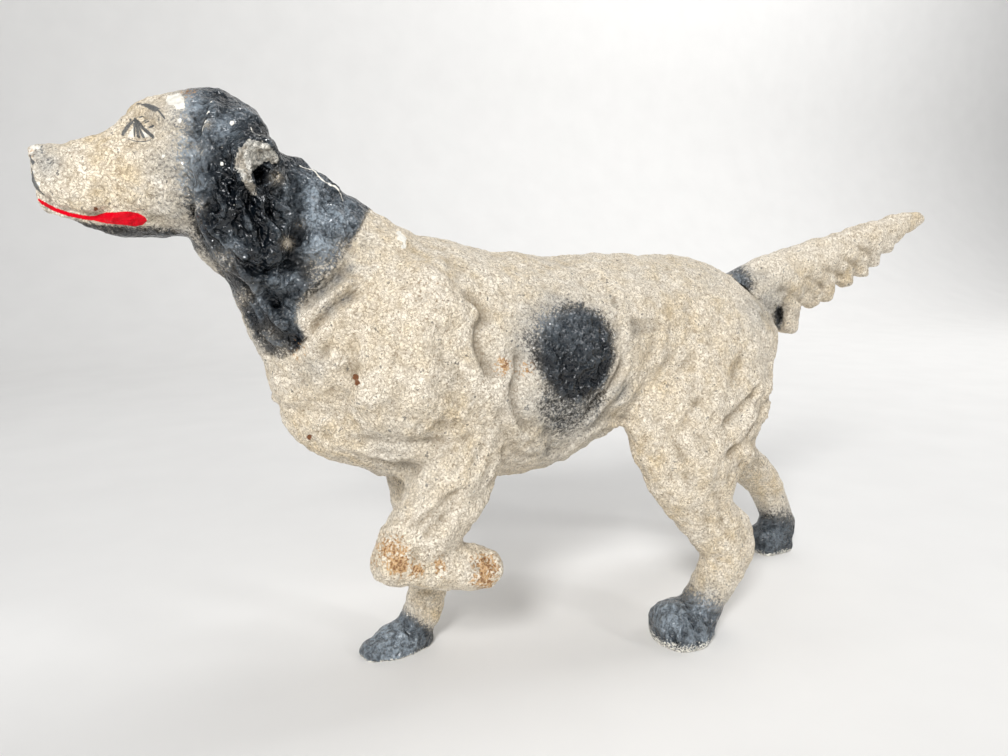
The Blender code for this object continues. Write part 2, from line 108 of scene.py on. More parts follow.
# Strokes on the head, neck and trunk, which both sides of the dog have.
BODY_STROKES = [
    # Brow, eyelids, stop and lips.
    Stroke("round", 1.8, 0.6, [(139, 104), (148, 105), (157, 111), (165, 118)]),
    Stroke("round", 2.2, -1.1, [(124, 141), (134, 145), (146, 144), (156, 140)]),
    Stroke("round", 1.3, 0.6, [(125, 134), (131, 125), (137, 120), (146, 128), (154, 137)]),
    Stroke("round", 1.6, -0.5, [(134, 112), (144, 112), (153, 118), (160, 128)]),
    Stroke("round", 1.3, -0.8, [(36, 193), (54, 206), (84, 214.5), (98, 215), (118, 210), (138, 210)]),
    Stroke("round", 1.6, 0.5, [(38, 199), (54, 211), (84, 219)]),
    Stroke("round", 2.8, 0.8, [(104, 219), (122, 219), (140, 219)]),
    Stroke("round", 3.4, 1.5, [(64, 223), (90, 227), (120, 230), (150, 232), (176, 235)]),
    Stroke("round", 1.3, -0.9, [(37, 164), (43, 167), (46, 173)]),
    Stroke("round", 2.4, -0.6, [(52, 158), (64, 168), (72, 184)]),
    # Temple ridge, and the hollow behind the jaw.
    Stroke("fold", 2.0, 1.7, [(214, 98), (210, 114), (204, 132), (199, 145)]),
    Stroke("round", 2.6, -1.0, [(204, 112), (198, 128), (194, 142)]),
    Stroke("round", 4.0, -2.4, [(206, 186), (209, 200), (209, 214)]),
    Stroke("fold", 1.7, 1.5, [(216, 193), (221, 206), (217, 219)]),
    Stroke("round", 2.4, -1.2, [(224, 146), (221, 164), (223, 182), (226, 198)]),
    # The ear: its rolled rim, its hollow and the waves that hang from it.
    Stroke("round", 2.3, 1.7, [
        (279, 160), (273, 151), (265, 145), (254, 143), (243, 147), (238, 157), (239, 169), (246, 182),
        (252, 192),
    ]),
    Stroke("round", 2.6, -3.4, [(265, 166), (264, 174), (268, 184)]),
    Stroke("round", 1.5, -1.6, [(258, 166), (256, 176), (260, 188)]),
    Stroke("round", 1.5, 1.1, [(270, 168), (271, 180), (277, 191), (286, 198)]),
    Stroke("round", 1.6, 1.2, [(278, 172), (284, 182), (284, 192)]),
    Stroke("fold", 2.0, -1.9, [(286, 164), (293, 181), (290, 196), (294, 210), (295, 228), (289, 246)]),
    Stroke("round", 1.7, -1.7, [(233, 148), (229, 168), (231, 190), (234, 214), (243, 238), (252, 252)]),
    Stroke("round", 1.6, 1.2, [(238, 184), (241, 204), (250, 224), (262, 244)]),
    Stroke("round", 1.6, -1.6, [(245, 194), (252, 212), (262, 230), (270, 250)]),
    Stroke("round", 1.6, 1.3, [(256, 196), (265, 212), (275, 232), (280, 250)]),
    Stroke("round", 1.6, -1.5, [(264, 198), (273, 212), (282, 230), (285, 246)]),
    Stroke("round", 1.4, 1.0, [(276, 200), (284, 214), (288, 230)]),
    Stroke("fold", 2.0, -1.6, [(218, 232), (232, 254), (252, 272), (274, 272), (287, 258)]),
    Stroke("round", 1.8, 1.2, [(222, 244), (236, 251), (248, 262)]),
    # Locks under the ear and down the throat.
    Stroke("round", 2.6, 2.0, [(268, 286), (280, 282), (292, 278), (303, 272)]),
    Stroke("round", 1.8, -1.6, [(262, 278), (276, 274), (290, 268), (300, 262)]),
    Stroke("round", 2.0, -1.5, [(208, 230), (224, 256), (242, 280), (262, 296)]),
    Stroke("round", 1.9, 1.3, [(232, 262), (248, 282), (268, 296)]),
    Stroke("round", 2.0, -1.5, [(244, 290), (258, 312), (276, 332)]),
    Stroke("round", 2.0, 1.3, [(254, 290), (270, 312), (292, 328)]),
    Stroke("round", 1.9, -1.4, [(268, 298), (284, 314), (298, 328)]),
    Stroke("round", 1.7, 1.1, [(262, 328), (276, 340), (292, 346)]),
    # The neck behind the ear.
    Stroke("round", 1.5, 1.0, [(296, 161), (308, 169), (322, 180), (333, 189), (346, 198), (362, 210)]),
    Stroke("round", 2.6, -1.4, [(298, 190), (304, 212), (303, 236), (298, 252)]),
    Stroke("round", 2.8, 1.2, [(312, 184), (318, 204), (320, 228), (316, 250)]),
    Stroke("round", 2.0, -1.1, [(324, 200), (330, 218), (330, 240)]),
    Stroke("round", 2.0, 0.9, [(338, 206), (342, 224), (338, 246)]),
    Stroke("round", 2.2, -0.9, [(350, 214), (352, 232), (344, 254)]),
    Stroke("round", 2.2, -2.6, [(356, 263), (334, 281), (317, 294), (301, 307), (290, 314)]),
    Stroke("round", 2.6, 2.1, [(358, 276), (340, 290), (322, 304), (306, 319)]),
    Stroke("round", 2.0, -2.4, [(364, 289), (338, 304), (320, 320), (308, 334)]),
    Stroke("round", 2.8, 1.6, [(366, 302), (345, 317), (328, 333), (316, 348)]),
    Stroke("fold", 1.8, 1.3, [(382, 311), (379, 323), (385, 336)]),
    Stroke("round", 2.2, -1.0, [(330, 340), (322, 360), (316, 384)]),
    Stroke("fold", 2.2, 1.4, [(298, 392), (288, 400), (280, 407)]),
    # Waves of the chest and brisket.
    Stroke("round", 3.2, -1.1, [(345, 340), (352, 362), (348, 386), (336, 408)]),
    Stroke("round", 3.4, 0.9, [(362, 334), (372, 360), (370, 388), (358, 412)]),
    Stroke("round", 3.2, -1.0, [(392, 342), (400, 368), (396, 396), (382, 418)]),
    Stroke("round", 3.2, 0.8, [(412, 330), (424, 360), (422, 392), (408, 420)]),
    Stroke("fold", 3.2, -1.6, [(331, 432), (360, 440), (393, 445), (442, 442), (489, 434)]),
    Stroke("round", 2.4, 1.2, [(352, 449), (388, 456), (426, 454)]),
    Stroke("round", 2.2, -1.0, [(372, 458), (404, 466), (440, 462)]),
    # The shoulder blade and the folds behind it.
    Stroke("fold", 2.6, -2.6, [
        (461, 289), (480, 306), (483, 316), (477, 328), (477, 344), (482, 359), (491, 375), (503, 384),
    ]),
    Stroke("round", 3.2, 1.0, [(448, 296), (462, 312), (466, 336), (470, 362), (480, 384)]),
    Stroke("fold", 2.4, -1.9, [(516, 338), (518, 370), (513, 387), (516, 411), (525, 430), (537, 440)]),
    Stroke("round", 3.0, -0.9, [(436, 318), (438, 344), (446, 372), (462, 398)]),
    Stroke("round", 2.6, 0.9, [(494, 330), (498, 352), (506, 374)]),
    Stroke("round", 2.4, -1.1, [(500, 396), (502, 420), (512, 444), (526, 462)]),
    Stroke("round", 2.8, 0.8, [(404, 258), (428, 268), (452, 284)]),
    Stroke("round", 2.6, -0.7, [(392, 268), (410, 284), (428, 304)]),
    # The flank, its folds and the edge of the belly.
    Stroke("fold", 2.4, 1.9, [(616, 286), (621, 304), (621, 318), (627, 330), (624, 344)]),
    Stroke("fold", 2.2, -1.8, [(621, 346), (622, 364), (612, 382), (598, 400), (584, 420)]),
    Stroke("round", 1.6, 1.0, [(628, 352), (626, 372), (614, 392), (600, 410), (588, 424)]),
    Stroke("round", 1.8, -1.2, [(634, 378), (622, 396), (606, 412), (590, 428)]),
    Stroke("round", 1.8, 1.2, [(552, 464), (576, 444), (598, 428), (623, 424), (636, 431)]),
    Stroke("round", 2.0, -1.3, [(544, 424), (551, 440), (548, 458)]),
    Stroke("round", 2.0, 0.8, [(532, 430), (540, 446), (538, 462)]),
    Stroke("round", 7.0, -1.8, [(640, 318), (643, 336)]),
    Stroke("round", 2.4, 1.1, [(666, 314), (664, 334), (659, 352), (657, 372)]),
    Stroke("round", 2.8, -0.9, [(684, 300), (690, 320), (688, 342)]),
]

# Strokes of the left hind and foreleg only.
LEFT_LEG_STROKES = [
    Stroke("fold", 2.4, -1.4, [(760, 382), (741, 408), (722, 426), (710, 438)]),
    Stroke("fold", 2.2, -1.2, [(709, 377), (700, 400), (683, 422), (674, 436)]),
    Stroke("round", 2.4, -0.8, [(698, 349), (684, 368), (672, 384)]),
    Stroke("round", 2.6, 0.8, [(726, 372), (716, 396), (700, 418)]),
    Stroke("round", 2.6, -0.9, [(742, 348), (738, 372), (728, 392)]),
    Stroke("fold", 2.2, 1.2, [(764, 400), (748, 422), (730, 440)]),
    Stroke("fold", 2.2, -1.2, [(756, 424), (742, 444), (726, 456)]),
    Stroke("round", 2.6, 0.9, [(722, 440), (712, 462), (708, 484)]),
    Stroke("fold", 2.2, -1.2, [(748, 462), (732, 474), (728, 490)]),
    Stroke("round", 2.4, 1.0, [(742, 446), (750, 458), (744, 468)]),
    Stroke("round", 2.0, -0.9, [(720, 492), (721, 510), (724, 528)]),
    Stroke("round", 2.2, -0.7, [(664, 420), (676, 446), (688, 470), (694, 492)]),
    Stroke("round", 2.4, 0.7, [(690, 440), (700, 462), (704, 486)]),
    Stroke("round", 1.8, -0.9, [(738, 530), (744, 537), (751, 545)]),
    Stroke("round", 2.0, -0.7, [(706, 500), (708, 520), (706, 544)]),
    # The raised foreleg.
    Stroke("fold", 2.0, -1.7, [(472, 484), (449, 498), (431, 513), (407, 530)]),
    Stroke("round", 2.0, 1.0, [(470, 494), (450, 506), (432, 522), (420, 538)]),
    Stroke("round", 1.8, -1.3, [(462, 502), (446, 511), (430, 529), (421, 543)]),
    Stroke("round", 1.5, -1.0, [(450, 516), (442, 526), (436, 537)]),
    Stroke("round", 1.7, -1.6, [(419, 546), (416, 556), (418, 566)]),
    Stroke("round", 1.5, 1.0, [(446, 538), (443, 546), (440, 553)]),
    Stroke("round", 2.0, -1.1, [(487, 440), (478, 458), (470, 478)]),
    Stroke("fold", 2.2, -1.5, [(505, 446), (500, 468), (488, 490)]),
    Stroke("round", 1.4, -1.1, [(470, 562), (482, 570), (490, 582)]),
    Stroke("round", 1.3, -1.0, [(482, 555), (492, 562), (499, 572)]),
    # Toes of the hind foot, and the step round its instep.
    Stroke("fold", 1.5, -1.2, [(655, 618), (664, 611), (676, 612), (684, 622), (682, 640)]),
    Stroke("round", 1.5, -1.2, [(664, 620), (671, 634), (675, 648)]),
    Stroke("round", 1.5, -1.2, [(688, 614), (697, 630), (700, 646)]),
]

# Strokes of the tail, which both its sides have.
TAIL_STROKES = [
    Stroke("round", 1.6, -3.0, [(785, 304), (780, 316), (779, 330)]),
    Stroke("round", 2.2, 1.0, [(793, 306), (790, 320), (786, 332)]),
    Stroke("round", 1.4, -1.6, [(766, 318), (774, 314), (780, 308)]),
    Stroke("fold", 1.8, -1.4, [(776, 292), (790, 292), (802, 304)]),
    Stroke("round", 1.5, -1.8, [(814, 299), (819, 300), (824, 301)]),
    Stroke("fold", 1.7, -1.4, [(800, 276), (816, 282), (828, 296)]),
    Stroke("fold", 1.6, -1.2, [(822, 268), (836, 274), (848, 284)]),
    Stroke("fold", 1.5, -1.1, [(842, 258), (854, 264), (864, 272)]),
    Stroke("fold", 1.4, -1.0, [(858, 248), (868, 252), (876, 260)]),
    Stroke("round", 2.0, 0.6, [(760, 262), (800, 250), (850, 232), (900, 218)]),
]

# Where the coat lies a given way, in photo pixels, besides along the strokes.
COAT_LIE = [
    [(60, 170), (100, 165), (150, 170), (190, 175)],
    [(210, 100), (225, 120), (235, 150), (240, 190)],
    [(300, 170), (330, 220), (345, 260)],
    [(380, 230), (420, 260), (450, 300)],
    [(470, 260), (540, 280), (610, 290)],
    [(540, 320), (560, 350), (580, 390)],
    [(640, 280), (700, 300), (750, 350)],
    [(700, 500), (715, 560), (705, 600)],
    [(540, 400), (560, 430), (580, 440)],
]

# How deep the coat is carved: photo pixel, radius in pixels and strength.
COAT_DEPTHS = [
    (250, 210, 75, 1.0),
    (280, 300, 60, 1.0),
    (330, 380, 75, 0.75),
    (430, 430, 80, 0.7),
    (330, 230, 50, 0.6),
    (480, 370, 70, 0.6),
    (700, 430, 95, 0.9),
    (760, 400, 50, 1.0),
    (450, 500, 60, 0.7),
    (800, 290, 60, 0.8),
    (870, 250, 50, 0.7),
    (600, 410, 60, 0.7),
]
COAT_DEPTH_ELSEWHERE = 0.25

# Outlines of the sprayed and brushed paint in photo pixels, and of black laid on as painted shade under the
# jaw.
HEAD_BLACK = [
    (186, 84), (182, 104), (184, 130), (180, 156), (184, 180), (187, 206), (193, 231), (205, 253),
    (221, 277), (234, 299), (245, 319), (255, 340), (266, 352), (282, 358), (300, 349), (306, 337),
    (296, 322), (298, 306), (312, 292), (328, 278), (340, 262), (350, 246), (359, 230), (366, 214),
    (372, 206), (350, 176), (310, 140), (272, 96), (230, 78),
]
FLANK_BLACK = [
    (530, 340), (538, 320), (556, 307), (580, 303), (602, 314), (614, 332), (615, 358), (607, 382),
    (594, 399), (575, 408), (557, 401), (542, 378), (532, 358),
]
# Painted shade: black laid under the jaw where its underside is in shadow.
JAW_PAINTED_SHADE = [
    (50, 215.5), (70, 219.5), (90, 223), (130, 226.5), (165, 228), (188, 232), (206, 250), (170, 252),
    (100, 246), (50, 232),
]
FLANK_SMOKE = [
    (546, 372), (575, 382), (604, 382), (610, 398), (598, 416), (580, 430), (560, 440), (545, 430),
    (538, 404),
]

# Where the tail's own black may lie, in millimetres: the x from where it fades in, and the distance
# from the parting face at which it fades out, so that none lands on the rump beside it.
TAIL_FADE_IN = (71.0, 76.0)
TAIL_FADE_OUT = (14.0, 18.0)
# Painted shade: black laid in the tail's deep hollow.
TAIL_HOLLOW_PAINTED_SHADE = [(777, 304), (784, 309), (782, 322), (780, 331), (775, 327), (773, 314)]
TAIL_BLACK = [
    (719, 276), (728, 268), (740, 265), (748, 272), (754, 281), (752, 290), (742, 296), (736, 302),
    (724, 290),
]
MOUTH_RED = [
    (38, 197.5), (42, 200.5), (55, 207.5), (68, 212), (84, 215.4), (94, 216), (106, 212.4),
    (118, 212.2), (128, 211.2), (138, 213), (145, 217), (147.5, 220.6), (143, 225), (135, 226.4),
    (123, 225), (107, 223.6), (94, 220.6), (84, 219.6), (68, 216.2), (54, 211.2), (42, 204.5), (38, 200.5),
]
EAR_CHIP = [
    (279, 160), (274, 151), (268, 144), (256, 140), (249, 140), (241, 146), (235, 157), (235, 167),
    (240, 174), (245, 186), (250, 194), (256, 194), (256, 187), (252, 181), (251, 174), (255, 168),
    (262, 163), (269, 161), (275, 165),
]

# Where the black's edge is softer than elsewhere: photo pixel, radius and extra width in pixels.
EDGE_WIDTH = 3.0
SOFT_EDGES = [
    (182, 110, 34, 13), (182, 150, 34, 15), (186, 195, 34, 12), (212, 240, 26, 3), (244, 290, 24, 3),
    (260, 345, 18, 4), (318, 290, 30, 9), (345, 255, 18, 6), (524, 335, 36, 20), (548, 302, 34, 13),
    (610, 330, 26, 6), (575, 418, 36, 14), (740, 280, 30, 8),
]

# Where the black is thin, so that older cream shows through: photo pixel, radius and share.
THIN_BLACK = [
    (288, 243, 6, 0.9), (300, 226, 7, 0.3), (222, 262, 13, 0.4), (243, 296, 10, 0.45),
    (322, 268, 16, 0.45), (342, 250, 12, 0.4), (278, 178, 7, 0.5), (198, 150, 8, 0.35),
    (207, 124, 5, 0.5), (268, 335, 12, 0.25), (200, 205, 7, 0.5), (283, 352, 8, 0.45),
]

# Painted grey-blue sheen on the black: photo pixel, radius in pixels and strength.
PAINTED_SHEEN_SPOTS = [
    (668, 612, 18, 0.95), (700, 606, 14, 0.6),
    (186, 106, 20, 1.0), (182, 148, 24, 1.0), (184, 178, 18, 0.9), (222, 126, 16, 0.75),
    (240, 112, 14, 0.35), (196, 190, 12, 0.5), (306, 190, 20, 0.9), (318, 214, 24, 1.0),
    (340, 216, 20, 0.8), (322, 246, 18, 0.9), (286, 281, 13, 0.6), (232, 246, 12, 0.4),
    (300, 316, 12, 0.7), (264, 302, 10, 0.3), (574, 324, 30, 0.2), (546, 320, 18, 0.45),
    (672, 622, 18, 1.0), (702, 606, 18, 0.8), (738, 277, 12, 0.4), (700, 640, 20, 0.6),
]

# Fine painted lines: half width in millimetres and photo pixels.
DARK_LINES = [
    # The eye's two lids, the strokes between them and its lower edge.
    (0.6, [(124.6, 135), (127.5, 130.6), (131, 126), (135, 121.6), (137, 121.2)]),
    (0.6, [(136, 121.2), (140, 124.4), (144, 128.4), (148, 132.4), (151.8, 136.2)]),
    (0.42, [(135.2, 124.6), (134.4, 130), (134, 135)]),
    (0.5, [(137.2, 123.6), (137.6, 130), (137.8, 136)]),
    (0.42, [(139.6, 126), (140.8, 131), (141.8, 135.8)]),
    (0.15, [(127.6, 138.4), (133, 139.8), (140, 140.2), (148, 138.6)]),
    # Lashes.
    (0.3, [(126.2, 122), (127.6, 124.8)]),
    (0.3, [(129, 118), (130.2, 121)]),
    (0.3, [(132.8, 115.8), (133.6, 118.6)]),
    (0.3, [(136.8, 114.4), (137, 117.4)]),
    (0.3, [(141.4, 115.4), (140.8, 118.2)]),
    (0.3, [(145.6, 118.4), (144.4, 121)]),
    (0.3, [(149, 122), (147.4, 124.4)]),
    (0.3, [(152.6, 125.6), (150.6, 127.8)]),
    # Brow.
    (0.4, [(136.4, 103.4), (140, 102.6), (144, 103)]),
    (0.95, [(143, 102.8), (148, 104.6), (153, 107.6), (157.6, 110.6)]),
    (0.26, [(156.6, 110), (161, 114), (164.6, 118.4)]),
    # Edge and wing of the nose.
    (0.75, [(32.5, 170), (34, 177), (36.5, 185), (40.5, 194)]),
    (0.6, [(29.5, 156), (31, 160), (34, 163)]),
]
EYE_WHITES = [
    [(127.6, 137.4), (130, 131.6), (133.4, 127.4), (133.4, 137.4)],
    [(142.4, 137.4), (142, 130.4), (145.6, 133), (149.4, 137.2)],
]
PALE_LINES = [
    (0.16, [(211, 106), (207, 120), (202, 136)]),
    (0.22, [(300, 165), (309, 170.5), (320, 179.5), (333, 190), (344, 199)]),
    (0.2, [(251, 127), (253, 132), (260, 137)]),
    (0.6, [(234, 95.5), (242, 100), (250, 107)]),
]

# White chips of the primer: photo pixel and radius in pixels. The small ones are on the black, and some of
# them are painted glints.
WHITE_CHIPS_AND_GLINTS = [
    (171, 100, 5.0), (178, 100.5, 6.5), (180, 105, 5.0), (179, 121.5, 2.6), (164, 156, 1.6),
    (222, 147, 1.1), (222, 164, 1.4), (232, 123, 1.6), (234, 205, 1.2), (402, 238, 4.2),
    (403.5, 246, 2.6), (399, 233, 2.4), (253, 283, 1.0), (38, 184, 2.2), (34, 172, 1.8),
    (37, 147, 2.4), (31, 152, 2.0), (28, 159, 2.6), (29, 166, 2.4), (33, 147, 3.0), (28, 152, 2.8),
]
RUST_CHIPS = [(356, 377, 3.2), (357.5, 383, 2.8), (275, 404, 2.6), (309, 437, 2.6), (96, 209, 2.2)]
RUST_STAINS = [
    (504, 366, 9, 0.8), (525, 369, 8, 0.55), (430, 292, 30, 0.12), (300, 352, 12, 0.25), (906, 222, 18, 0.3),
    (188, 92, 8, 0.45), (28, 152, 7, 0.35),
]
LEFT_LEG_STAINS = [
    (392, 551, 15, 0.75), (398, 563, 13, 1.0), (417, 571, 8, 0.9), (382, 546, 8, 0.5), (440, 564, 7, 0.8),
    (440, 572, 6, 0.6), (487, 566, 14, 0.85), (484, 580, 12, 0.9), (375, 560, 8, 0.4),
]

# Grey drift of the black spray over the cream, and grey painted shade under the jaw, along the throat and in
# the tail's hollow: photo pixel, radius in pixels and strength.
OVERSPRAY_AND_PAINTED_SHADE = [
    (450, 242, 50, 0.2), (560, 258, 60, 0.2), (655, 262, 50, 0.2), (562, 432, 26, 0.35),
    (562, 344, 66, 0.6), (560, 412, 40, 0.85), (585, 424, 28, 0.6), (550, 446, 30, 0.6),
    (620, 392, 14, 0.8), (632, 332, 16, 0.4), (332, 262, 34, 0.6), (320, 286, 18, 0.8),
    (340, 296, 12, 0.5), (314, 368, 20, 0.45), (46, 162, 17, 0.8), (38, 152, 10, 0.9),
    (205, 250, 26, 0.7), (176, 204, 24, 0.7), (168, 165, 24, 0.8), (176, 122, 22, 0.75),
    (150, 212, 16, 0.4), (768, 304, 24, 0.75), (762, 280, 14, 0.5), (364, 244, 12, 0.5),
    (712, 592, 16, 0.6), (395, 455, 50, 0.3), (650, 330, 24, 0.25), (250, 360, 16, 0.5),
    (258, 330, 14, 0.6), (520, 400, 24, 0.3), (44, 208, 14, 0.4), (110, 230, 14, 0.7),
    (70, 224, 10, 0.7), (90, 229, 11, 0.7), (132, 234, 12, 0.75), (152, 235, 12, 0.8),
    (172, 238, 13, 0.8), (540, 335, 34, 0.7), (600, 318, 30, 0.5), (185, 232, 16, 0.7),
    (226, 262, 13, 0.8), (240, 290, 11, 0.8), (249, 318, 11, 0.7), (257, 346, 11, 0.5),
    (779, 318, 7, 1.0), (574, 412, 26, 0.8), (596, 404, 10, 0.8),
    (350, 268, 9, 0.9), (336, 279, 9, 0.9), (320, 292, 10, 0.9), (346, 298, 8, 0.7), (330, 309, 8, 0.7),
    (460, 264, 40, 0.22), (545, 270, 50, 0.22), (640, 266, 50, 0.2), (700, 272, 30, 0.3),
]

# Where the skin is split finer for small features: photo pixel, radius in millimetres and rounds.
FINE_ZONES = [
    ((139, 131), 8.5, 3), ((150, 109), 7.5, 2), ((34, 168), 7.0, 1), ((38, 194), 6.0, 1), ((52, 207), 6.0, 1),
    ((68, 213), 6.0, 1), ((84, 217), 6.0, 1), ((100, 217), 6.0, 1), ((116, 218), 6.0, 1),
    ((132, 218), 6.0, 1), ((146, 219), 5.0, 1), ((262, 165), 17.0, 1), ((262, 225), 17.0, 1),
    ((312, 174), 8.0, 1), ((328, 187), 8.0, 1), ((342, 198), 7.0, 1),
]

# Strokes of both thighs. The right thigh takes them from the photograph's mirror image.
THIGH_STROKES = LEFT_LEG_STROKES[:8]

# Strokes of the right legs' outer side, which the photograph hides, in millimetres x and z.
RIGHT_LEG_STROKES = [
    Stroke("fold", 2.0, -1.4, [(62, 104), (80, 90), (98, 76), (110, 64)]),
    Stroke("round", 2.0, 1.0, [(70, 106), (86, 94), (104, 78)]),
    Stroke("fold", 2.0, -1.3, [(84, 104), (100, 88), (114, 72)]),
    Stroke("round", 1.8, -1.1, [(88, 70), (104, 58), (118, 50)]),
    Stroke("round", 1.6, -1.1, [(134, 44), (141, 32), (145, 20)]),
    Stroke("round", 1.5, -1.1, [(130, 12), (127, 6), (125, 1)]),
    Stroke("round", 1.5, -1.1, [(138, 13), (135, 7), (134, 1)]),
    Stroke("fold", 2.0, -1.4, [(-60, 92), (-62, 74), (-62, 52)]),
    Stroke("round", 2.0, 0.9, [(-66, 94), (-67, 74), (-66, 54)]),
    Stroke("round", 1.8, -1.0, [(-72, 90), (-73, 66), (-71, 44)]),
    Stroke("round", 1.5, -1.0, [(-62, 48), (-62, 32), (-64, 18)]),
    Stroke("round", 1.4, -1.0, [(-88, 9), (-93, 5), (-97, 1)]),
    Stroke("round", 1.4, -1.0, [(-82, 10), (-86, 5), (-88, 1)]),
]

# Black feet, in millimetres: the foot's middle x and reach, the black's highest edge there, how fast
# that edge drops away from the middle, its softness, and how high the sole is scuffed.
Foot = namedtuple("Foot", "x reach top droop softness scuff")
LEFT_FEET = [Foot(27.0, 36.0, 23.0, 0.016, 8.0, 6.0)]
RIGHT_FEET = [Foot(-87.0, 30.0, 17.5, 0.03, 4.0, 1.4), Foot(139.0, 30.0, 24.0, 0.02, 9.0, 3.5)]
# Painted grey-blue sheen on the right feet: x and z in millimetres, radius in millimetres and strength.
RIGHT_FOOT_PAINTED_SHEEN = [((-87.0, 6.0), 12.0, 1.0), ((139.0, 10.0), 10.0, 0.4)]


def linear(hex_colour, alpha=1.0):
    """An sRGB hex colour as the linear values that Blender's colours hold."""
    channels = [int(hex_colour[i:i + 2], 16) / 255 for i in (1, 3, 5)]
    return tuple(c / 12.92 if c <= 0.04045 else ((c + 0.055) / 1.055) ** 2.4 for c in channels) + (alpha,)


def length_setting(name, description, millimetres):
    """A length setting with its default in millimetres."""
    return bpy.props.FloatProperty(
        name=name, description=description, default=millimetres * MM, min=0.0, unit="LENGTH",
        subtype="DISTANCE", precision=5)


def colour_setting(name, description, hex_colour):
    """A colour setting with its default as sRGB hex."""
    return bpy.props.FloatVectorProperty(
        name=name, description=description, default=linear(hex_colour), size=4, min=0.0, max=1.0,
        subtype="COLOR")


class CastingSizes(bpy.types.PropertyGroup):
    """Sizes of the castings' skins."""
    skin_step: length_setting("Skin step", "Distance between the points of a casting's skin", 1.0)
    relief: bpy.props.FloatProperty(
        name="Relief", description="Share of the drawn height that folds and locks are carved to",
        default=1.2, min=0.0, max=2.0, subtype="FACTOR")
    strand_height: length_setting("Strand height", "Height of the coat's fine strands", 0.2)
    lock_height: length_setting("Lock height", "Height of the coat's broad locks", 1.1)
    tuft_height: length_setting("Tuft height", "Height of the coat's rounded tufts", 0.55)
    sand_height: length_setting("Sand height", "Height of the casting's sandy lumps", 0.28)


class ScrewSizes(bpy.types.PropertyGroup):
    """Sizes of the joining screws, besides those that their frame nodes give."""
    diameter: length_setting("Diameter", "Outside diameter of the thread", 6.35)
    thread_pitch: length_setting("Thread pitch", "Distance from one thread to the next", 1.27)
    thread_depth: length_setting("Thread depth", "How deep the thread is cut", 0.6)
    head_height: length_setting("Head height", "Height of the domed head", 4.4)
    slot_width: length_setting("Slot width", "Width of the driver slot", 1.8)
    slot_depth: length_setting("Slot depth", "Depth of the driver slot", 2.2)


class PaintColours(bpy.types.PropertyGroup):
    """Colours of the paint and of the iron under it."""
    cream: colour_setting("Cream", "Cream enamel", "#faf0de")
    tan: colour_setting("Tan", "Aged cream in the larger patches", "#e6d3b1")
    crackle: colour_setting("Crackle", "Dirt in the fine crackle of the cream", "#857259")
    grime: colour_setting("Grime", "Grime in the carved hollows", "#85765f")
    black: colour_setting("Black", "Blue-black enamel", "#070c12")
    # Painted sheen: grey-blue laid on the black where its gloss would catch the light.
    bloom: colour_setting("Painted sheen", "Grey-blue bloom on the black enamel", "#a0acb6")
    # This grey also lays painted shade under the jaw and along the throat.
    overspray_and_painted_shade: colour_setting("Overspray and painted shade", "Grey drift of the black spray over the cream", "#7f8a93")
    speck: colour_setting("Speck", "Dark specks of the spray", "#2a2f34")
    red: colour_setting("Red", "Red enamel of the mouth", "#d4001c")
    line: colour_setting("Line", "Thinned black of the brushed lines", "#454b50")
    primer: colour_setting("Primer", "White primer where the top coat chipped off", "#f3efe4")
    ochre: colour_setting("Ochre", "Pale ochre rust bloom", "#d2a061")
    rust: colour_setting("Rust", "Brown rust", "#7d4f30")
    steel: colour_setting("Steel", "Darkened steel of the screws", "#57504a")


class StageLook(bpy.types.PropertyGroup):
    """The floor, the backdrop and the lamps."""
    floor: colour_setting("Floor", "Pale floor and backdrop", "#e9e8e6")
    surround: colour_setting("Surround", "Colour of the even light all round", "#f4f6fa")
    key_power: bpy.props.FloatProperty(
        name="Key power", description="Power of the front lamp", default=17.0, unit="POWER")
    fill_power: bpy.props.FloatProperty(
        name="Fill power", description="Power of the side lamp", default=2.6, unit="POWER")
    wash_power: bpy.props.FloatProperty(
        name="Wash power", description="Power of the lamp on the backdrop", default=30.0, unit="POWER")
    world_strength: bpy.props.FloatProperty(
        name="Surround strength", description="Strength of the even light all round", default=0.24,
        min=0.0)


def photo_axes():
    """The camera's right, up and forward directions."""
    yaw = math.radians(CAMERA_YAW)
    pitch = math.radians(CAMERA_PITCH)
    forward = np.array((math.sin(yaw) * math.cos(pitch), math.cos(yaw) * math.cos(pitch), -math.sin(pitch)))
    right = np.array((math.cos(yaw), -math.sin(yaw), 0.0))
    return right, np.cross(right, forward), forward


def focal_pixels():
    """The lens's focal length in photo pixels."""
    return LENS / SENSOR * PHOTO_SIZE[0]


def to_photo(points):
    """Where points, in millimetres, show in the photograph."""
    right, up, forward = photo_axes()
    away = points - np.array(CAMERA_PLACE) / MM
    scale = focal_pixels() / (away @ forward)
    return np.stack((
        PHOTO_SIZE[0] / 2 + (away @ right) * scale,
        PHOTO_SIZE[1] / 2 - (away @ up) * scale,
    ), axis=1)


def photo_ray(spot, side):
    """The camera's place, in millimetres, and the way through a photo pixel.

    Side -1 is the photograph, and side 1 its mirror image from the dog's right.
    """
    right, up, forward = photo_axes()
    x = spot[0] - PHOTO_SIZE[0] / 2
    y = spot[1] - PHOTO_SIZE[1] / 2
    way = forward * focal_pixels() + right * x - up * y
    flip = np.array((1.0, -side, 1.0))
    return Vector(CAMERA_PLACE * flip) / MM, Vector(way * flip).normalized()


def side_ray(spot, side):
    """A place beside the dog at an x and z, in millimetres, and the way straight in."""
    return Vector((spot[0], side * 100.0, spot[1])), Vector((0.0, -side, 0.0))


def smooth_step(low, high, values):
    """0 below low, 1 above high and a soft rise between."""
    t = np.clip((values - low) / (high - low), 0.0, 1.0)
    return t * t * (3.0 - 2.0 * t)


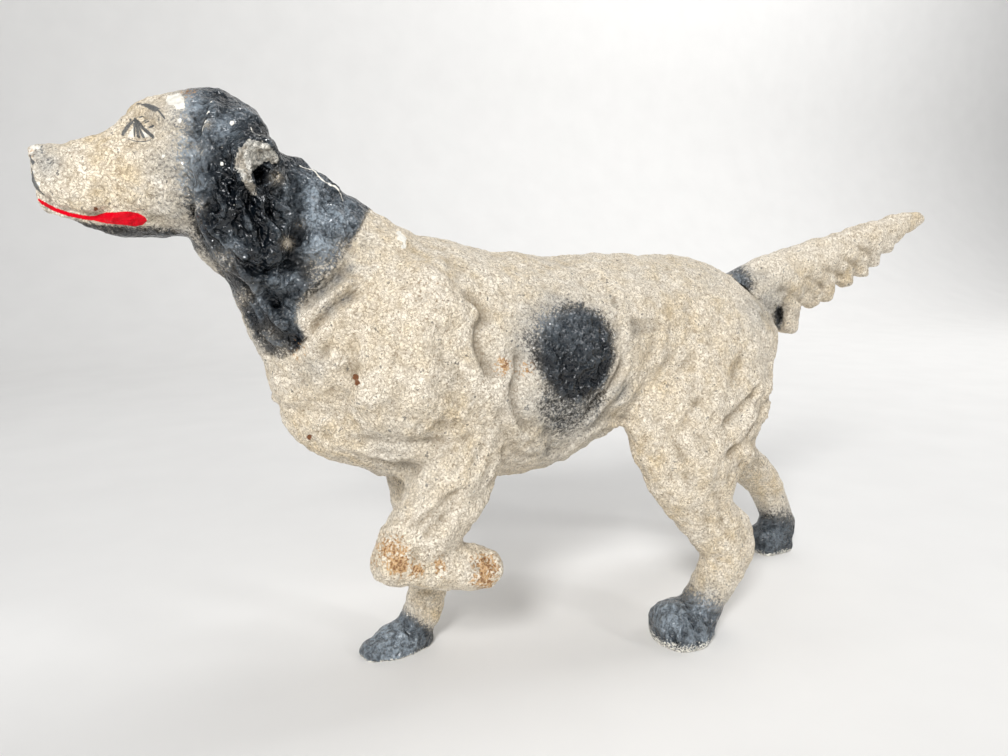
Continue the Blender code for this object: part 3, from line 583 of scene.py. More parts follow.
def curve_through(points, step):
    """A Catmull-Rom curve through the points, sampled about every step."""
    points = [np.array(p, float) for p in points]
    last = len(points) - 1
    samples = []
    for i in range(last):
        p0, p1, p2, p3 = (points[min(max(j, 0), last)] for j in (i - 1, i, i + 1, i + 2))
        count = max(1, int(np.linalg.norm(p2 - p1) / step))
        for k in range(count):
            f = k / count
            samples.append(p1 + 0.5 * f * (
                p2 - p0 + f * (2 * p0 - 5 * p1 + 4 * p2 - p3 + f * (3 * p1 - p0 - 3 * p2 + p3))))
    samples.append(points[-1])
    return np.array(samples)


def read(items, name, width):
    """One property of many mesh items as rows of numbers."""
    values = np.empty(len(items) * width, np.float32)
    items.foreach_get(name, values)
    return values.reshape(-1, width).astype(float)


class Skin:
    """One casting's fine mesh: its points in millimetres, their links, and which lie outside."""

    def __init__(self, obj, face, wells):
        self.obj = obj
        self.face = face
        self.refresh()
        self.mark_outside(wells)
        near_face = np.abs(self.points[:, 1]) < RIM_REACH
        beside = self.neighbour_mean(self.parting[:, None] * 1.0)[:, 0] > 0
        self.rim = self.outside & near_face & beside
        low = self.points[:, 2] < SOLE_REACH
        self.sole = self.outside & low & (self.normals[:, 2] < -SOLE_SQUARE)

    def refresh(self):
        """Reads the points, normals and links again from the mesh."""
        mesh = self.obj.data
        self.points = read(mesh.vertices, "co", 3) / MM
        self.normals = read(mesh.vertex_normals, "vector", 3)
        edges = np.empty(len(mesh.edges) * 2, np.int32)
        mesh.edges.foreach_get("vertices", edges)
        edges = edges.reshape(-1, 2)
        self.starts = np.concatenate((edges[:, 0], edges[:, 1]))
        self.ends = np.concatenate((edges[:, 1], edges[:, 0]))
        self.degree = np.maximum(np.bincount(self.starts, minlength=len(self.points)), 1)

    def write(self):
        """Puts the points back into the mesh and reads the new normals."""
        flat = (self.points * MM).astype(np.float32).ravel()
        self.obj.data.vertices.foreach_set("co", flat)
        self.obj.data.update()
        self.normals = read(self.obj.data.vertex_normals, "vector", 3)

    def mark_outside(self, wells):
        """Finds the outer skin: what links to the outermost point without crossing the parting face."""
        count = len(self.points)
        outwards = math.copysign(1.0, self.face)
        facing = self.normals[:, 1] * -outwards
        near = np.abs(self.points[:, 1] - self.face) < FACE_REACH
        self.parting = near & (facing > FACE_SQUARE)
        blocked = self.parting.copy()
        for x, z, radius in wells:
            blocked |= np.hypot(self.points[:, 0] - x, self.points[:, 2] - z) < radius
        seed = int(np.argmax(self.points[:, 1] * outwards * ~blocked))
        order = np.argsort(self.starts, kind="stable")
        ends = self.ends[order]
        firsts = np.concatenate(([0], np.cumsum(np.bincount(self.starts, minlength=count))))
        outside = np.zeros(count, bool)
        outside[seed] = True
        front = [seed]
        while front:
            found = []
            for point in front:
                for other in ends[firsts[point]:firsts[point + 1]]:
                    if not outside[other] and not blocked[other]:
                        outside[other] = True
                        found.append(other)
            front = found
        self.outside = outside

    def neighbour_mean(self, values):
        """The mean of each point's neighbours."""
        count = len(self.points)
        columns = [np.bincount(self.starts, values[self.ends, k], count) for k in range(values.shape[1])]
        return np.stack(columns, axis=1) / self.degree[:, None]

    def soften(self, passes):
        """Takes the facets out of the outer skin, and keeps its bulk."""
        free = self.outside[:, None] * np.ones((1, 3))
        free[self.rim, 1] = 0.0

        def relaxed(values):
            for _ in range(passes):
                values = values + 0.5 * free * (self.neighbour_mean(values) - values)
            return values

        eased = relaxed(self.points)
        lost = relaxed(self.points - eased)
        self.points = eased + lost
        self.points[self.parting, 1] = self.face
        self.write()


def merged_copy(node, name):
    """A closed copy of a frame node, its loose triangles merged."""
    bm = bmesh.new()
    bm.from_mesh(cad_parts[node].data)
    bmesh.ops.remove_doubles(bm, verts=bm.verts, dist=0.000001)
    return new_object(name, bm)


def new_object(name, bm):
    """A new object in the scene that holds the mesh."""
    mesh = bpy.data.meshes.new(name)
    bm.to_mesh(mesh)
    bm.free()
    obj = bpy.data.objects.new(name, mesh)
    bpy.context.scene.collection.objects.link(obj)
    return obj


def applied(obj):
    """The object again as a plain mesh, with its modifiers applied."""
    bpy.context.view_layer.update()
    graph = bpy.context.evaluated_depsgraph_get()
    mesh = bpy.data.meshes.new_from_object(obj.evaluated_get(graph))
    mesh.name = obj.name
    obj.modifiers.clear()
    obj.data = mesh
    return obj


def remeshed(obj, step):
    """The object as an even net of small squares."""
    melt = obj.modifiers.new("melt", "REMESH")
    melt.mode = "VOXEL"
    melt.voxel_size = step
    return applied(obj)


def thin_inside(obj, outside, share):
    """Thins the hollow and the parting face, which are plain, to a share of their faces."""
    group = obj.vertex_groups.new(name="inside")
    group.add([int(i) for i in np.flatnonzero(~outside)], 1.0, "REPLACE")
    inside_faces = 1.0 - outside.mean()
    thin = obj.modifiers.new("thin", "DECIMATE")
    thin.vertex_group = group.name
    thin.ratio = 1.0 - inside_faces * (1.0 - share)
    applied(obj)
    obj.vertex_groups.clear()


def refine(obj, zones):
    """Splits the faces inside each zone of centre, radius and rounds, in millimetres."""
    bm = bmesh.new()
    bm.from_mesh(obj.data)
    for centre, radius, rounds in zones:
        middle = Vector(centre) * MM
        for turn in range(rounds):
            reach = radius * MM * (1.0 - 0.16 * turn)
            edges = [e for e in bm.edges if ((e.verts[0].co + e.verts[1].co) / 2 - middle).length < reach]
            bmesh.ops.subdivide_edges(bm, edges=edges, cuts=1, use_grid_fill=True)
    bmesh.ops.triangulate(bm, faces=[f for f in bm.faces if len(f.verts) > 4])
    bm.to_mesh(obj.data)
    bm.free()
    obj.data.update()


def surface_tree(obj):
    """A search tree of the object's faces, in millimetres."""
    bm = bmesh.new()
    bm.from_mesh(obj.data)
    bmesh.ops.scale(bm, vec=(1 / MM, 1 / MM, 1 / MM), verts=bm.verts)
    tree = BVHTree.FromBMesh(bm)
    bm.free()
    return tree


def cast_line(line, tree, ray, side, step=0.7):
    """A drawn line laid on the surface that its rays meet, sampled about every step."""
    spots = []
    for spot in curve_through(line, 2.0):
        place, way = ray(spot, side)
        hit, _, _, _ = tree.ray_cast(place, way)
        if hit is not None and (not spots or (hit - spots[-1]).length < 12.0):
            spots.append(hit)
    return curve_through(spots, step) if len(spots) > 1 else None


def mirror(line):
    """The same line on the dog's other side."""
    return line * np.array((1.0, -1.0, 1.0))


def cast_strokes(strokes, tree, ray, side):
    """The strokes, each with its line laid on the surface."""
    laid = [(stroke, cast_line(stroke.line, tree, ray, side)) for stroke in strokes]
    return [(stroke, line) for stroke, line in laid if line is not None]


def stroke_height(skin, line, profile, width, height):
    """How far one stroke raises or sinks each point, in millimetres."""
    raised = np.zeros(len(skin.points))
    reach = 3.4 * width
    low = line.min(0) - reach
    high = line.max(0) + reach
    near = np.flatnonzero(skin.outside & ((skin.points > low) & (skin.points < high)).all(1))
    if not len(near):
        return raised
    points = skin.points[near]
    apart = ((points[:, None, :] - line[None]) ** 2).sum(2)
    closest = apart.argmin(1)
    distance = np.sqrt(apart[np.arange(len(near)), closest])
    run = closest / max(len(line) - 1, 1)
    taper = 0.12 + 0.88 * smooth_step(0.0, 0.22, run) * smooth_step(0.0, 0.22, 1.0 - run)
    if profile == "fold":
        # A fold drops sharply on one side of its line and eases away on the other.
        tangents = np.gradient(line, axis=0)
        tangents /= np.maximum(np.linalg.norm(tangents, axis=1), 1e-6)[:, None]
        across = np.cross(tangents[closest], skin.normals[near])
        side = ((points - line[closest]) * across).sum(1) / width
        slope = np.where(side < 0, side * 0.6, side * 1.9)
        body = np.exp(-slope ** 2 - (distance / (1.9 * width)) ** 2)
    else:
        body = np.exp(-(distance / width) ** 2)
    middle = skin.normals[near[distance.argmin()]]
    facing = smooth_step(0.0, 0.45, skin.normals[near] @ middle)
    raised[near] = height * body * taper * facing
    return raised


def photo_points(skin):
    """Where each point, brought to the dog's left side, shows in the photograph."""
    left = skin.points.copy()
    left[:, 1] = -np.abs(left[:, 1])
    return to_photo(left)


def inside_depth(spots, outline):
    """How far each photo spot lies inside an outline, in pixels; outside is negative."""
    corners = np.array(outline, float)
    inside = np.zeros(len(spots), bool)
    nearest = np.full(len(spots), 1e9)
    for a, b in zip(corners, np.roll(corners, -1, axis=0)):
        crosses = (a[1] > spots[:, 1]) != (b[1] > spots[:, 1])
        slope = (b[0] - a[0]) / (b[1] - a[1] if b[1] != a[1] else 1e-9)
        inside ^= crosses & (spots[:, 0] < a[0] + slope * (spots[:, 1] - a[1]))
        run = b - a
        t = np.clip(((spots - a) @ run) / (run @ run), 0, 1)
        nearest = np.minimum(nearest, np.linalg.norm(spots - a - t[:, None] * run, axis=1))
    return np.where(inside, nearest, -nearest)


def blotch(spots, x, y, radius):
    """A soft round blotch in the photograph, 1 in its middle."""
    return np.exp(-((spots[:, 0] - x) ** 2 + (spots[:, 1] - y) ** 2) / radius ** 2)


def blotches(spots, drawn):
    """The strongest of the drawn blotches at each spot."""
    most = np.zeros(len(spots))
    for x, y, radius, strength in drawn:
        most = np.maximum(most, strength * blotch(spots, x, y, radius))
    return most


def coat_directions(skin, lines):
    """The way the coat lies at each point: along the nearest line, eased over the skin."""
    samples = []
    for line in lines:
        samples += list(zip(line[::3], np.gradient(line, axis=0)[::3]))
    tree = kdtree.KDTree(len(samples))
    for i, (spot, _) in enumerate(samples):
        tree.insert(spot, i)
    tree.balance()
    usual = np.array(USUAL_LIE)
    lie = np.zeros_like(skin.points)
    for i, point in enumerate(skin.points):
        _, index, distance = tree.find(point)
        way = samples[index][1]
        way = way / max(np.linalg.norm(way), 1e-6)
        if way @ usual < 0:
            way = -way
        share = math.exp(-(distance / LIE_REACH) ** 2)
        lie[i] = share * way + (1.0 - share) * usual
    for _ in range(12):
        lie = 0.5 * lie + 0.5 * skin.neighbour_mean(lie)
    lie -= (lie * skin.normals).sum(1)[:, None] * skin.normals
    return lie / np.maximum(np.linalg.norm(lie, axis=1), 1e-6)[:, None]


def diagonal_links(mesh):
    """Links across the faces' diagonals, so strands can run any way."""
    squares = [f.vertices for f in mesh.polygons if len(f.vertices) == 4]
    found = np.array([(v[0], v[2]) for v in squares] + [(v[1], v[3]) for v in squares], np.int64)
    return np.concatenate((found, found[:, ::-1]))


def strands(skin, links, start, lie, passes, keenness):
    """Values drawn out along the coat's lie into strands, about 1 high."""
    way = skin.points[links[:, 1]] - skin.points[links[:, 0]]
    way /= np.maximum(np.linalg.norm(way, axis=1), 1e-6)[:, None]
    pull = np.abs((way * lie[links[:, 0]]).sum(1)) ** keenness
    count = len(skin.points)
    total = np.bincount(links[:, 0], pull, count) + 1e-6
    values = start
    for _ in range(passes):
        drawn = np.bincount(links[:, 0], pull * values[links[:, 1]], count) / total
        values = 0.35 * values + 0.65 * drawn
    values = values - values[skin.outside].mean()
    return np.clip(values / values[skin.outside].std(), -2.2, 2.2)


def lumps(points, size, shift):
    """Soft lumps of a size in millimetres, about 1 high."""
    offset = Vector(shift)
    return np.array([noise.noise(Vector(p) / size + offset) for p in points]) * 2.0


def carve(skin, strokes, coat_lines, sizes):
    """Carves the strokes, locks, strands and sandy lumps into the outer skin."""
    height = np.zeros(len(skin.points))
    for stroke, line in strokes:
        height += stroke_height(skin, line, stroke.profile, stroke.width, stroke.height)
    height = np.clip(height * sizes.relief, *RELIEF_RANGE)
    spots = photo_points(skin)
    depth = np.maximum(COAT_DEPTH_ELSEWHERE, blotches(spots, COAT_DEPTHS))
    lie = coat_directions(skin, coat_lines)
    links = np.concatenate((np.stack((skin.starts, skin.ends), 1), diagonal_links(skin.obj.data)))
    rng = np.random.default_rng(SEED)
    fine = strands(skin, links, rng.standard_normal(len(skin.points)), lie, 9, 10)
    broad = strands(skin, links, lumps(skin.points, LOCK_SIZE, (3.1, 0.0, 0.0)), lie, 26, 8)
    height += depth * (fine * sizes.strand_height + broad * sizes.lock_height) / MM
    tufts = lumps(skin.points, TUFT_SIZES[0], (0.0, 2.2, 9.1))
    tufts += 0.6 * lumps(skin.points, TUFT_SIZES[1], (4.4, 0.0, 1.3))
    height += (0.3 + depth) * tufts * sizes.tuft_height / MM
    sand = lumps(skin.points, SAND_SIZES[0], (0.0, 7.7, 0.0))
    sand += 0.5 * lumps(skin.points, SAND_SIZES[1], (0.0, 0.0, 5.5))
    height += sand * sizes.sand_height / MM
    skin.height = height
    skin.uncarved = skin.points.copy()
    shift = skin.normals * (height * skin.outside)[:, None]
    shift[skin.rim, 1] = 0.0
    on_face = skin.parting[:, None] * np.array((1.0, 0.0, 1.0))
    for _ in range(6):
        shift += on_face * 0.8 * (skin.neighbour_mean(shift) - shift)
    skin.points += shift
    skin.points[skin.parting | skin.rim, 1] = skin.face
    skin.points[skin.sole, 2] = 0.0
    skin.points[:, 2] = np.maximum(skin.points[:, 2], 0.0)
    skin.write()


def black_density(skin, spots, feet):
    """Where the blue-black enamel lies, 1 where it covers, and the grey haze beside its soft edges; under the
    jaw and in the tail's deep hollow it is painted shade.
    """
    softness = EDGE_WIDTH + sum(extra * blotch(spots, x, y, radius) for x, y, radius, extra in SOFT_EDGES)
    on_tail = smooth_step(*TAIL_FADE_IN, skin.points[:, 0]) * (skin.face > 0)
    on_tail *= 1.0 - smooth_step(*TAIL_FADE_OUT, np.abs(skin.points[:, 1]))
    black = np.zeros(len(spots))
    haze_and_painted_shade = np.zeros(len(spots))
    # The jaw's and the tail hollow's outlines lay black on as painted shade.
    for outline, share in (
            (HEAD_BLACK, 1.0), (FLANK_BLACK, 1.0), (FLANK_SMOKE, 0.6), (JAW_PAINTED_SHADE, 0.85),
            (TAIL_BLACK, on_tail), (TAIL_HOLLOW_PAINTED_SHADE, 0.9 * on_tail)):
        depth = inside_depth(spots, outline) / softness
        black = np.maximum(black, share * smooth_step(-1.0, 1.0, depth))
        haze_and_painted_shade = np.maximum(haze_and_painted_shade, share * smooth_step(-2.4, 0.2, depth) * np.clip(softness / 14.0, 0.0, 1.0))
    black *= 1.0 - np.clip(blotches(spots, THIN_BLACK), 0.0, 1.0)
    for foot in feet:
        away = skin.points[:, 0] - foot.x
        height = (foot.top - foot.droop * away ** 2 - skin.points[:, 2]) / foot.softness
        near = np.abs(away) < foot.reach
        black = np.maximum(black, near * smooth_step(-1.0, 1.0, height))
        haze_and_painted_shade = np.maximum(haze_and_painted_shade, near * smooth_step(-2.2, 0.2, height) * 0.7)
    return black, haze_and_painted_shade * 0.7


def chips(spots, drawn, gain):
    """Marks that are over a half inside their radius, and fall off by the gain a pixel."""
    mark = np.zeros(len(spots))
    for x, y, radius in drawn:
        away = np.hypot(spots[:, 0] - x, spots[:, 1] - y)
        mark = np.maximum(mark, 0.5 + gain * (radius - away))
    return mark


def line_marks(skin, lines):
    """Marks along brushed lines, which lie on the uncarved skin: 1 on the line, a half at its edge."""
    mark = np.zeros(len(skin.points))
    for width, line in lines:
        reach = 3.0 * width + 1.0
        low = line.min(0) - reach
        high = line.max(0) + reach
        near = np.flatnonzero(((skin.uncarved > low) & (skin.uncarved < high)).all(1))
        if len(near):
            apart = np.sqrt(((skin.uncarved[near][:, None, :] - line[None]) ** 2).sum(2)).min(1)
            mark[near] = np.maximum(mark[near], 1.0 - apart / (2.0 * width))
    return mark


def painted_sheen_marks(skin, spots, foot_painted_sheen):
    """Where grey-blue sheen is painted on the black: as drawn, and on the feet that the photograph half
    hides.
    """
    bloom = blotches(spots, PAINTED_SHEEN_SPOTS)
    for (x, z), radius, strength in foot_painted_sheen:
        away = np.hypot(skin.points[:, 0] - x, skin.points[:, 2] - z)
        bloom = np.maximum(bloom, strength * np.exp(-(away / radius) ** 2))
    return bloom


def scuff_marks(skin, feet):
    """Where the soles' edges are scuffed down to the primer."""
    scuff = np.zeros(len(skin.points))
    for foot in feet:
        beside = np.abs(skin.points[:, 0] - foot.x) < foot.reach
        scuff = np.maximum(scuff, beside * smooth_step(-foot.scuff, 0.0, -skin.points[:, 2]) * 0.75)
    return scuff


def surface_bend(skin):
    """How far each point lies below its surroundings, eased: hollows above 0 and ridges below."""
    bend = skin.neighbour_mean(skin.points) - skin.points
    for _ in range(3):
        bend = skin.neighbour_mean(bend)
    return (bend * skin.normals).sum(1)


def paint_map(skin, feet, stains, foot_painted_sheen, dark_lines, pale_lines):
    """Densities of each paint and kind of wear at each point, for the enamel material to read.

    The chips and the rust are only on the left casting, where the photograph shows them.
    """
    spots = photo_points(skin)
    ear = inside_depth(spots, EAR_CHIP)
    eye = np.max([inside_depth(spots, outline) for outline in EYE_WHITES], axis=0)
    bend = surface_bend(skin)
    black, haze_and_painted_shade = black_density(skin, spots, feet)
    chipped = 1.0 * (skin.face < 0)
    white = chipped * np.maximum(chips(spots, WHITE_CHIPS_AND_GLINTS, 0.14), line_marks(skin, pale_lines))
    return {
        # Black enamel, and black painted shade under the jaw and in the tail's deep hollow.
        "black": black,
        "bloom": painted_sheen_marks(skin, spots, foot_painted_sheen),
        "red": np.clip(0.5 + 0.3 * inside_depth(spots, MOUTH_RED), 0.0, 1.0),
        "white": np.maximum(white, 0.5 + 0.5 * eye),
        "ear_chip": chipped * np.clip(0.5 + 0.12 * ear, 0.0, 1.0),
        "chip": chipped * chips(spots, RUST_CHIPS, 0.16),
        "rust": chipped * blotches(spots, RUST_STAINS + stains),
        # Grey spray drift, with grey painted shade under the jaw, along the throat and in the tail's hollow.
        "grey": np.maximum(haze_and_painted_shade, blotches(spots, OVERSPRAY_AND_PAINTED_SHADE)),
        "scuff": scuff_marks(skin, feet),
        "hollow": np.clip(bend * 10.0, 0.0, 1.0) * 0.6 + np.clip(-skin.height / 3.0, 0.0, 1.0) * 0.6,
        # Convex ridges, where the black's painted sheen is strongest.
        "worn": np.clip(-bend * 9.0, 0.0, 1.0),
        "line": line_marks(skin, dark_lines),
    }


def store(obj, name, values):
    """Writes one number a point onto the mesh for a material to read."""
    attribute = obj.data.attributes.new(name, "FLOAT", "POINT")
    attribute.data.foreach_set("value", np.clip(values, 0.0, 1.0).astype(np.float32))


def add(tree, kind, inputs=None, output=0, **settings):
    """Adds a node with its settings and its linked or fixed inputs, and gives one of its outputs."""
    node = tree.nodes.new(kind)
    for name, value in settings.items():
        setattr(node, name, value)
    for key, value in (inputs or {}).items():
        if isinstance(value, bpy.types.NodeSocket):
            tree.links.new(value, node.inputs[key])
        else:
            node.inputs[key].default_value = value
    return node.outputs[output]


def new_material(name):
    """A material of that name, its node tree, its shader and the socket of its object coordinates."""
    material = bpy.data.materials.new(name)
    material.use_nodes = True
    tree = material.node_tree
    place = add(tree, "ShaderNodeTexCoord", output="Object")
    return material, tree, tree.nodes["Principled BSDF"], place


def grains(tree, place, drawn):
    """Even noise patterns from 0 to 1, by name: grain size in millimetres, detail and roughness."""
    made = {}
    for name, (size, detail, roughness) in drawn.items():
        noisy = add(tree, NOISE, {
            "Vector": place, "Scale": 1.0 / (size * MM), "Detail": detail, "Roughness": roughness,
        }, "Fac")
        made[name] = add(tree, RANGE, {"Value": noisy, "From Min": 0.3, "From Max": 0.7})
    return made


def layered(tree, base, coats):
    """The colours laid over the base one after another, each where its mask is."""
    for mask, coat in coats:
        base = add(tree, MIX, {0: mask, 6: base, 7: coat}, 2, data_type="RGBA")
    return base


def blended(tree, base, values):
    """The numbers laid over the base one after another, each where its mask is."""
    for mask, value in values:
        base = add(tree, MIX, {0: mask, 2: base, 3: value}, 0, data_type="FLOAT")
    return base


def speckled(tree, density, pattern, softness):
    """A mask that breaks up into the pattern's specks where the density is between 0 and 1."""
    reach = 0.5 + softness
    lifted = add(tree, RANGE, {"Value": density, "To Min": -reach, "To Max": reach})
    over = add(tree, MATH, {0: lifted, 1: pattern}, operation="ADD")
    edge = {"Value": over, "From Min": 0.5 - softness, "From Max": 0.5 + softness}
    return add(tree, RANGE, edge, interpolation_type="SMOOTHSTEP")


def ragged(tree, field, pattern, amount, softness):
    """A mask of where the field is over a half, its edge made ragged by the pattern."""
    shifted = add(tree, MATH, {0: pattern, 1: amount, 2: field}, operation="MULTIPLY_ADD")
    middle = 0.5 + amount / 2
    edge = {"Value": shifted, "From Min": middle - softness, "From Max": middle + softness}
    return add(tree, RANGE, edge, interpolation_type="SMOOTHSTEP")


def crazing(tree, place, size, width):
    """Thin winding cracks: where a noise of that size in millimetres crosses its middle."""
    noisy = add(tree, NOISE, {"Vector": place, "Scale": 1.0 / (size * MM), "Detail": 2.0}, "Fac")
    off = add(tree, MATH, {0: noisy, 1: 0.5}, operation="SUBTRACT")
    away = add(tree, MATH, {0: off}, operation="ABSOLUTE")
    return add(tree, RANGE, {
        "Value": away, "From Min": 0.0, "From Max": width, "To Min": 1.0, "To Max": 0.0,
    }, interpolation_type="SMOOTHSTEP")


# What the paint map gives the enamel at each point.
ENAMEL_DENSITIES = (
    "black", "bloom", "red", "white", "ear_chip", "chip", "rust", "grey", "scuff", "hollow", "worn", "line",
)


def enamel_grain(tree, place):
    """The noise patterns that the enamel's coats share, by name.

    Sizes are of the real grain, apart from speck, which is drawn coarse enough to show.
    """
    grain = grains(tree, place, {
        "speck": (0.55, 3.0, 0.6), "fine": (1.0, 3.0, 0.6), "medium": (2.0, 3.0, 0.55),
        "patch": (5.5, 4.0, 0.6), "broad": (26.0, 3.0, 0.5),
        "pebble": (2.4, 1.0, 0.35), "dimple": (1.3, 0.5, 0.3),
    })
    # Two mixed grains, stretched so that each level covers about as much as any other.
    for name, first, second in (("even", "speck", "fine"), ("mottle", "fine", "medium")):
        both = add(tree, MATH, {0: grain[first], 1: grain[second]}, operation="ADD")
        grain[name] = add(tree, RANGE, {"Value": both, "From Min": 0.55, "From Max": 1.45})
    return grain


def cream_coat(tree, grain, density, dirt, colours):
    """The cream's colour, with tan drifts, dirt in its crazing, a grey haze beside the black, and grey
    painted shade under the jaw and along the throat.
    """
    drift = add(tree, MATH, {0: grain["patch"], 1: grain["broad"]}, operation="MULTIPLY")
    drift = add(tree, RANGE, {"Value": drift, "From Min": 0.05, "From Max": 0.75})
    grime = add(tree, MATH, {0: density["hollow"], 1: 0.7}, operation="MULTIPLY")
    pits = add(tree, RANGE, {"Value": grain["medium"], "From Min": 0.9, "From Max": 0.96})
    pits = add(tree, MATH, {0: pits, 1: 0.6}, operation="MULTIPLY")
    # The haze is also painted shade under the jaw and along the throat.
    haze_and_painted_shade = add(tree, MATH, {0: density["grey"], 1: 0.5}, operation="MULTIPLY")
    spray = speckled(tree, haze_and_painted_shade, grain["even"], 0.3)
    return layered(tree, tuple(colours.cream), (
        (drift, tuple(colours.tan)),
        (dirt, tuple(colours.crackle)),
        (grime, tuple(colours.grime)),
        (pits, tuple(colours.speck)),
        (haze_and_painted_shade, tuple(colours.overspray_and_painted_shade)),
        (add(tree, MATH, {0: spray, 1: 0.45}, operation="MULTIPLY"), tuple(colours.speck)),
    ))


def black_coat(tree, grain, density, colours):
    """The black's mask, and its colour with a fine-grained painted grey-blue sheen that is strongest on its
    lumps.
    """
    specks = speckled(tree, density["black"], grain["even"], 0.3)
    black = blended(tree, specks, ((0.45, density["black"]),))
    # Painted sheen: the black is lightened grey-blue on convex ridges and where drawn, more on the lumps'
    # tops than in their dips.
    high = add(tree, MATH, {0: density["worn"], 1: 0.3, 2: density["bloom"]}, operation="MULTIPLY_ADD")
    knobs = add(tree, MATH, {0: grain["pebble"], 1: grain["even"]}, operation="ADD")
    uneven = add(tree, RANGE, {
        "Value": knobs, "From Min": 0.4, "From Max": 1.6, "To Min": 0.3, "To Max": 1.2})
    bloom = add(tree, MATH, {0: high, 1: uneven}, operation="MULTIPLY", use_clamp=True)
    bloom = add(tree, MATH, {0: bloom, 1: 0.8}, operation="MULTIPLY")
    return black, layered(tree, tuple(colours.black), ((bloom, tuple(colours.bloom)),))


def wear_masks(tree, grain, density):
    """Masks of the red, the brushed lines, the chips and the rust, by name."""
    half_rust = add(tree, MATH, {0: density["rust"], 1: 0.5}, operation="MULTIPLY")
    return {
        "red": ragged(tree, density["red"], grain["speck"], 0.2, 0.1),
        "line": ragged(tree, density["line"], grain["speck"], 0.2, 0.12),
        "white": ragged(tree, density["white"], grain["medium"], 0.34, 0.06),
        "ear_chip": ragged(tree, density["ear_chip"], grain["fine"], 0.5, 0.08),
        "scuff": speckled(tree, density["scuff"], grain["even"], 0.1),
        "chip": ragged(tree, density["chip"], grain["fine"], 0.3, 0.08),
        "rust": speckled(tree, density["rust"], grain["mottle"], 0.3),
        "deep_rust": speckled(tree, half_rust, grain["even"], 0.2),
    }


def chipped_ear(tree, grain, dirt, colours):
    """The colour of the ear's large chip: dirty primer with brown patches."""
    brown = add(tree, RANGE, {"Value": grain["patch"], "From Min": 0.5, "From Max": 0.75, "To Max": 0.7})
    return layered(tree, tuple(colours.primer), (
        (brown, tuple(colours.grime)),
        (add(tree, MATH, {0: dirt, 1: 0.9}, operation="MULTIPLY"), tuple(colours.speck)),
    ))


def enamel_relief(tree, grain, cracks, coated, red, bare):
    """Relief in millimetres: the cream's domes between its cracks, and the black's thicker lumps."""
    sunk = add(tree, MATH, {0: cracks, 1: -0.12}, operation="MULTIPLY")
    sunk = add(tree, MATH, {0: grain["dimple"], 1: 0.22, 2: sunk}, operation="MULTIPLY_ADD")
    domes = add(tree, MATH, {0: grain["pebble"], 1: 0.36, 2: sunk}, operation="MULTIPLY_ADD")
    runs = add(tree, MATH, {0: grain["dimple"], 1: 0.35}, operation="MULTIPLY")
    runs = add(tree, MATH, {0: grain["pebble"], 1: 1.4, 2: runs}, operation="MULTIPLY_ADD")
    relief = blended(tree, domes, ((coated, runs), (red, 0.3)))
    return add(tree, MATH, {0: bare, 1: -0.15, 2: relief}, operation="MULTIPLY_ADD")


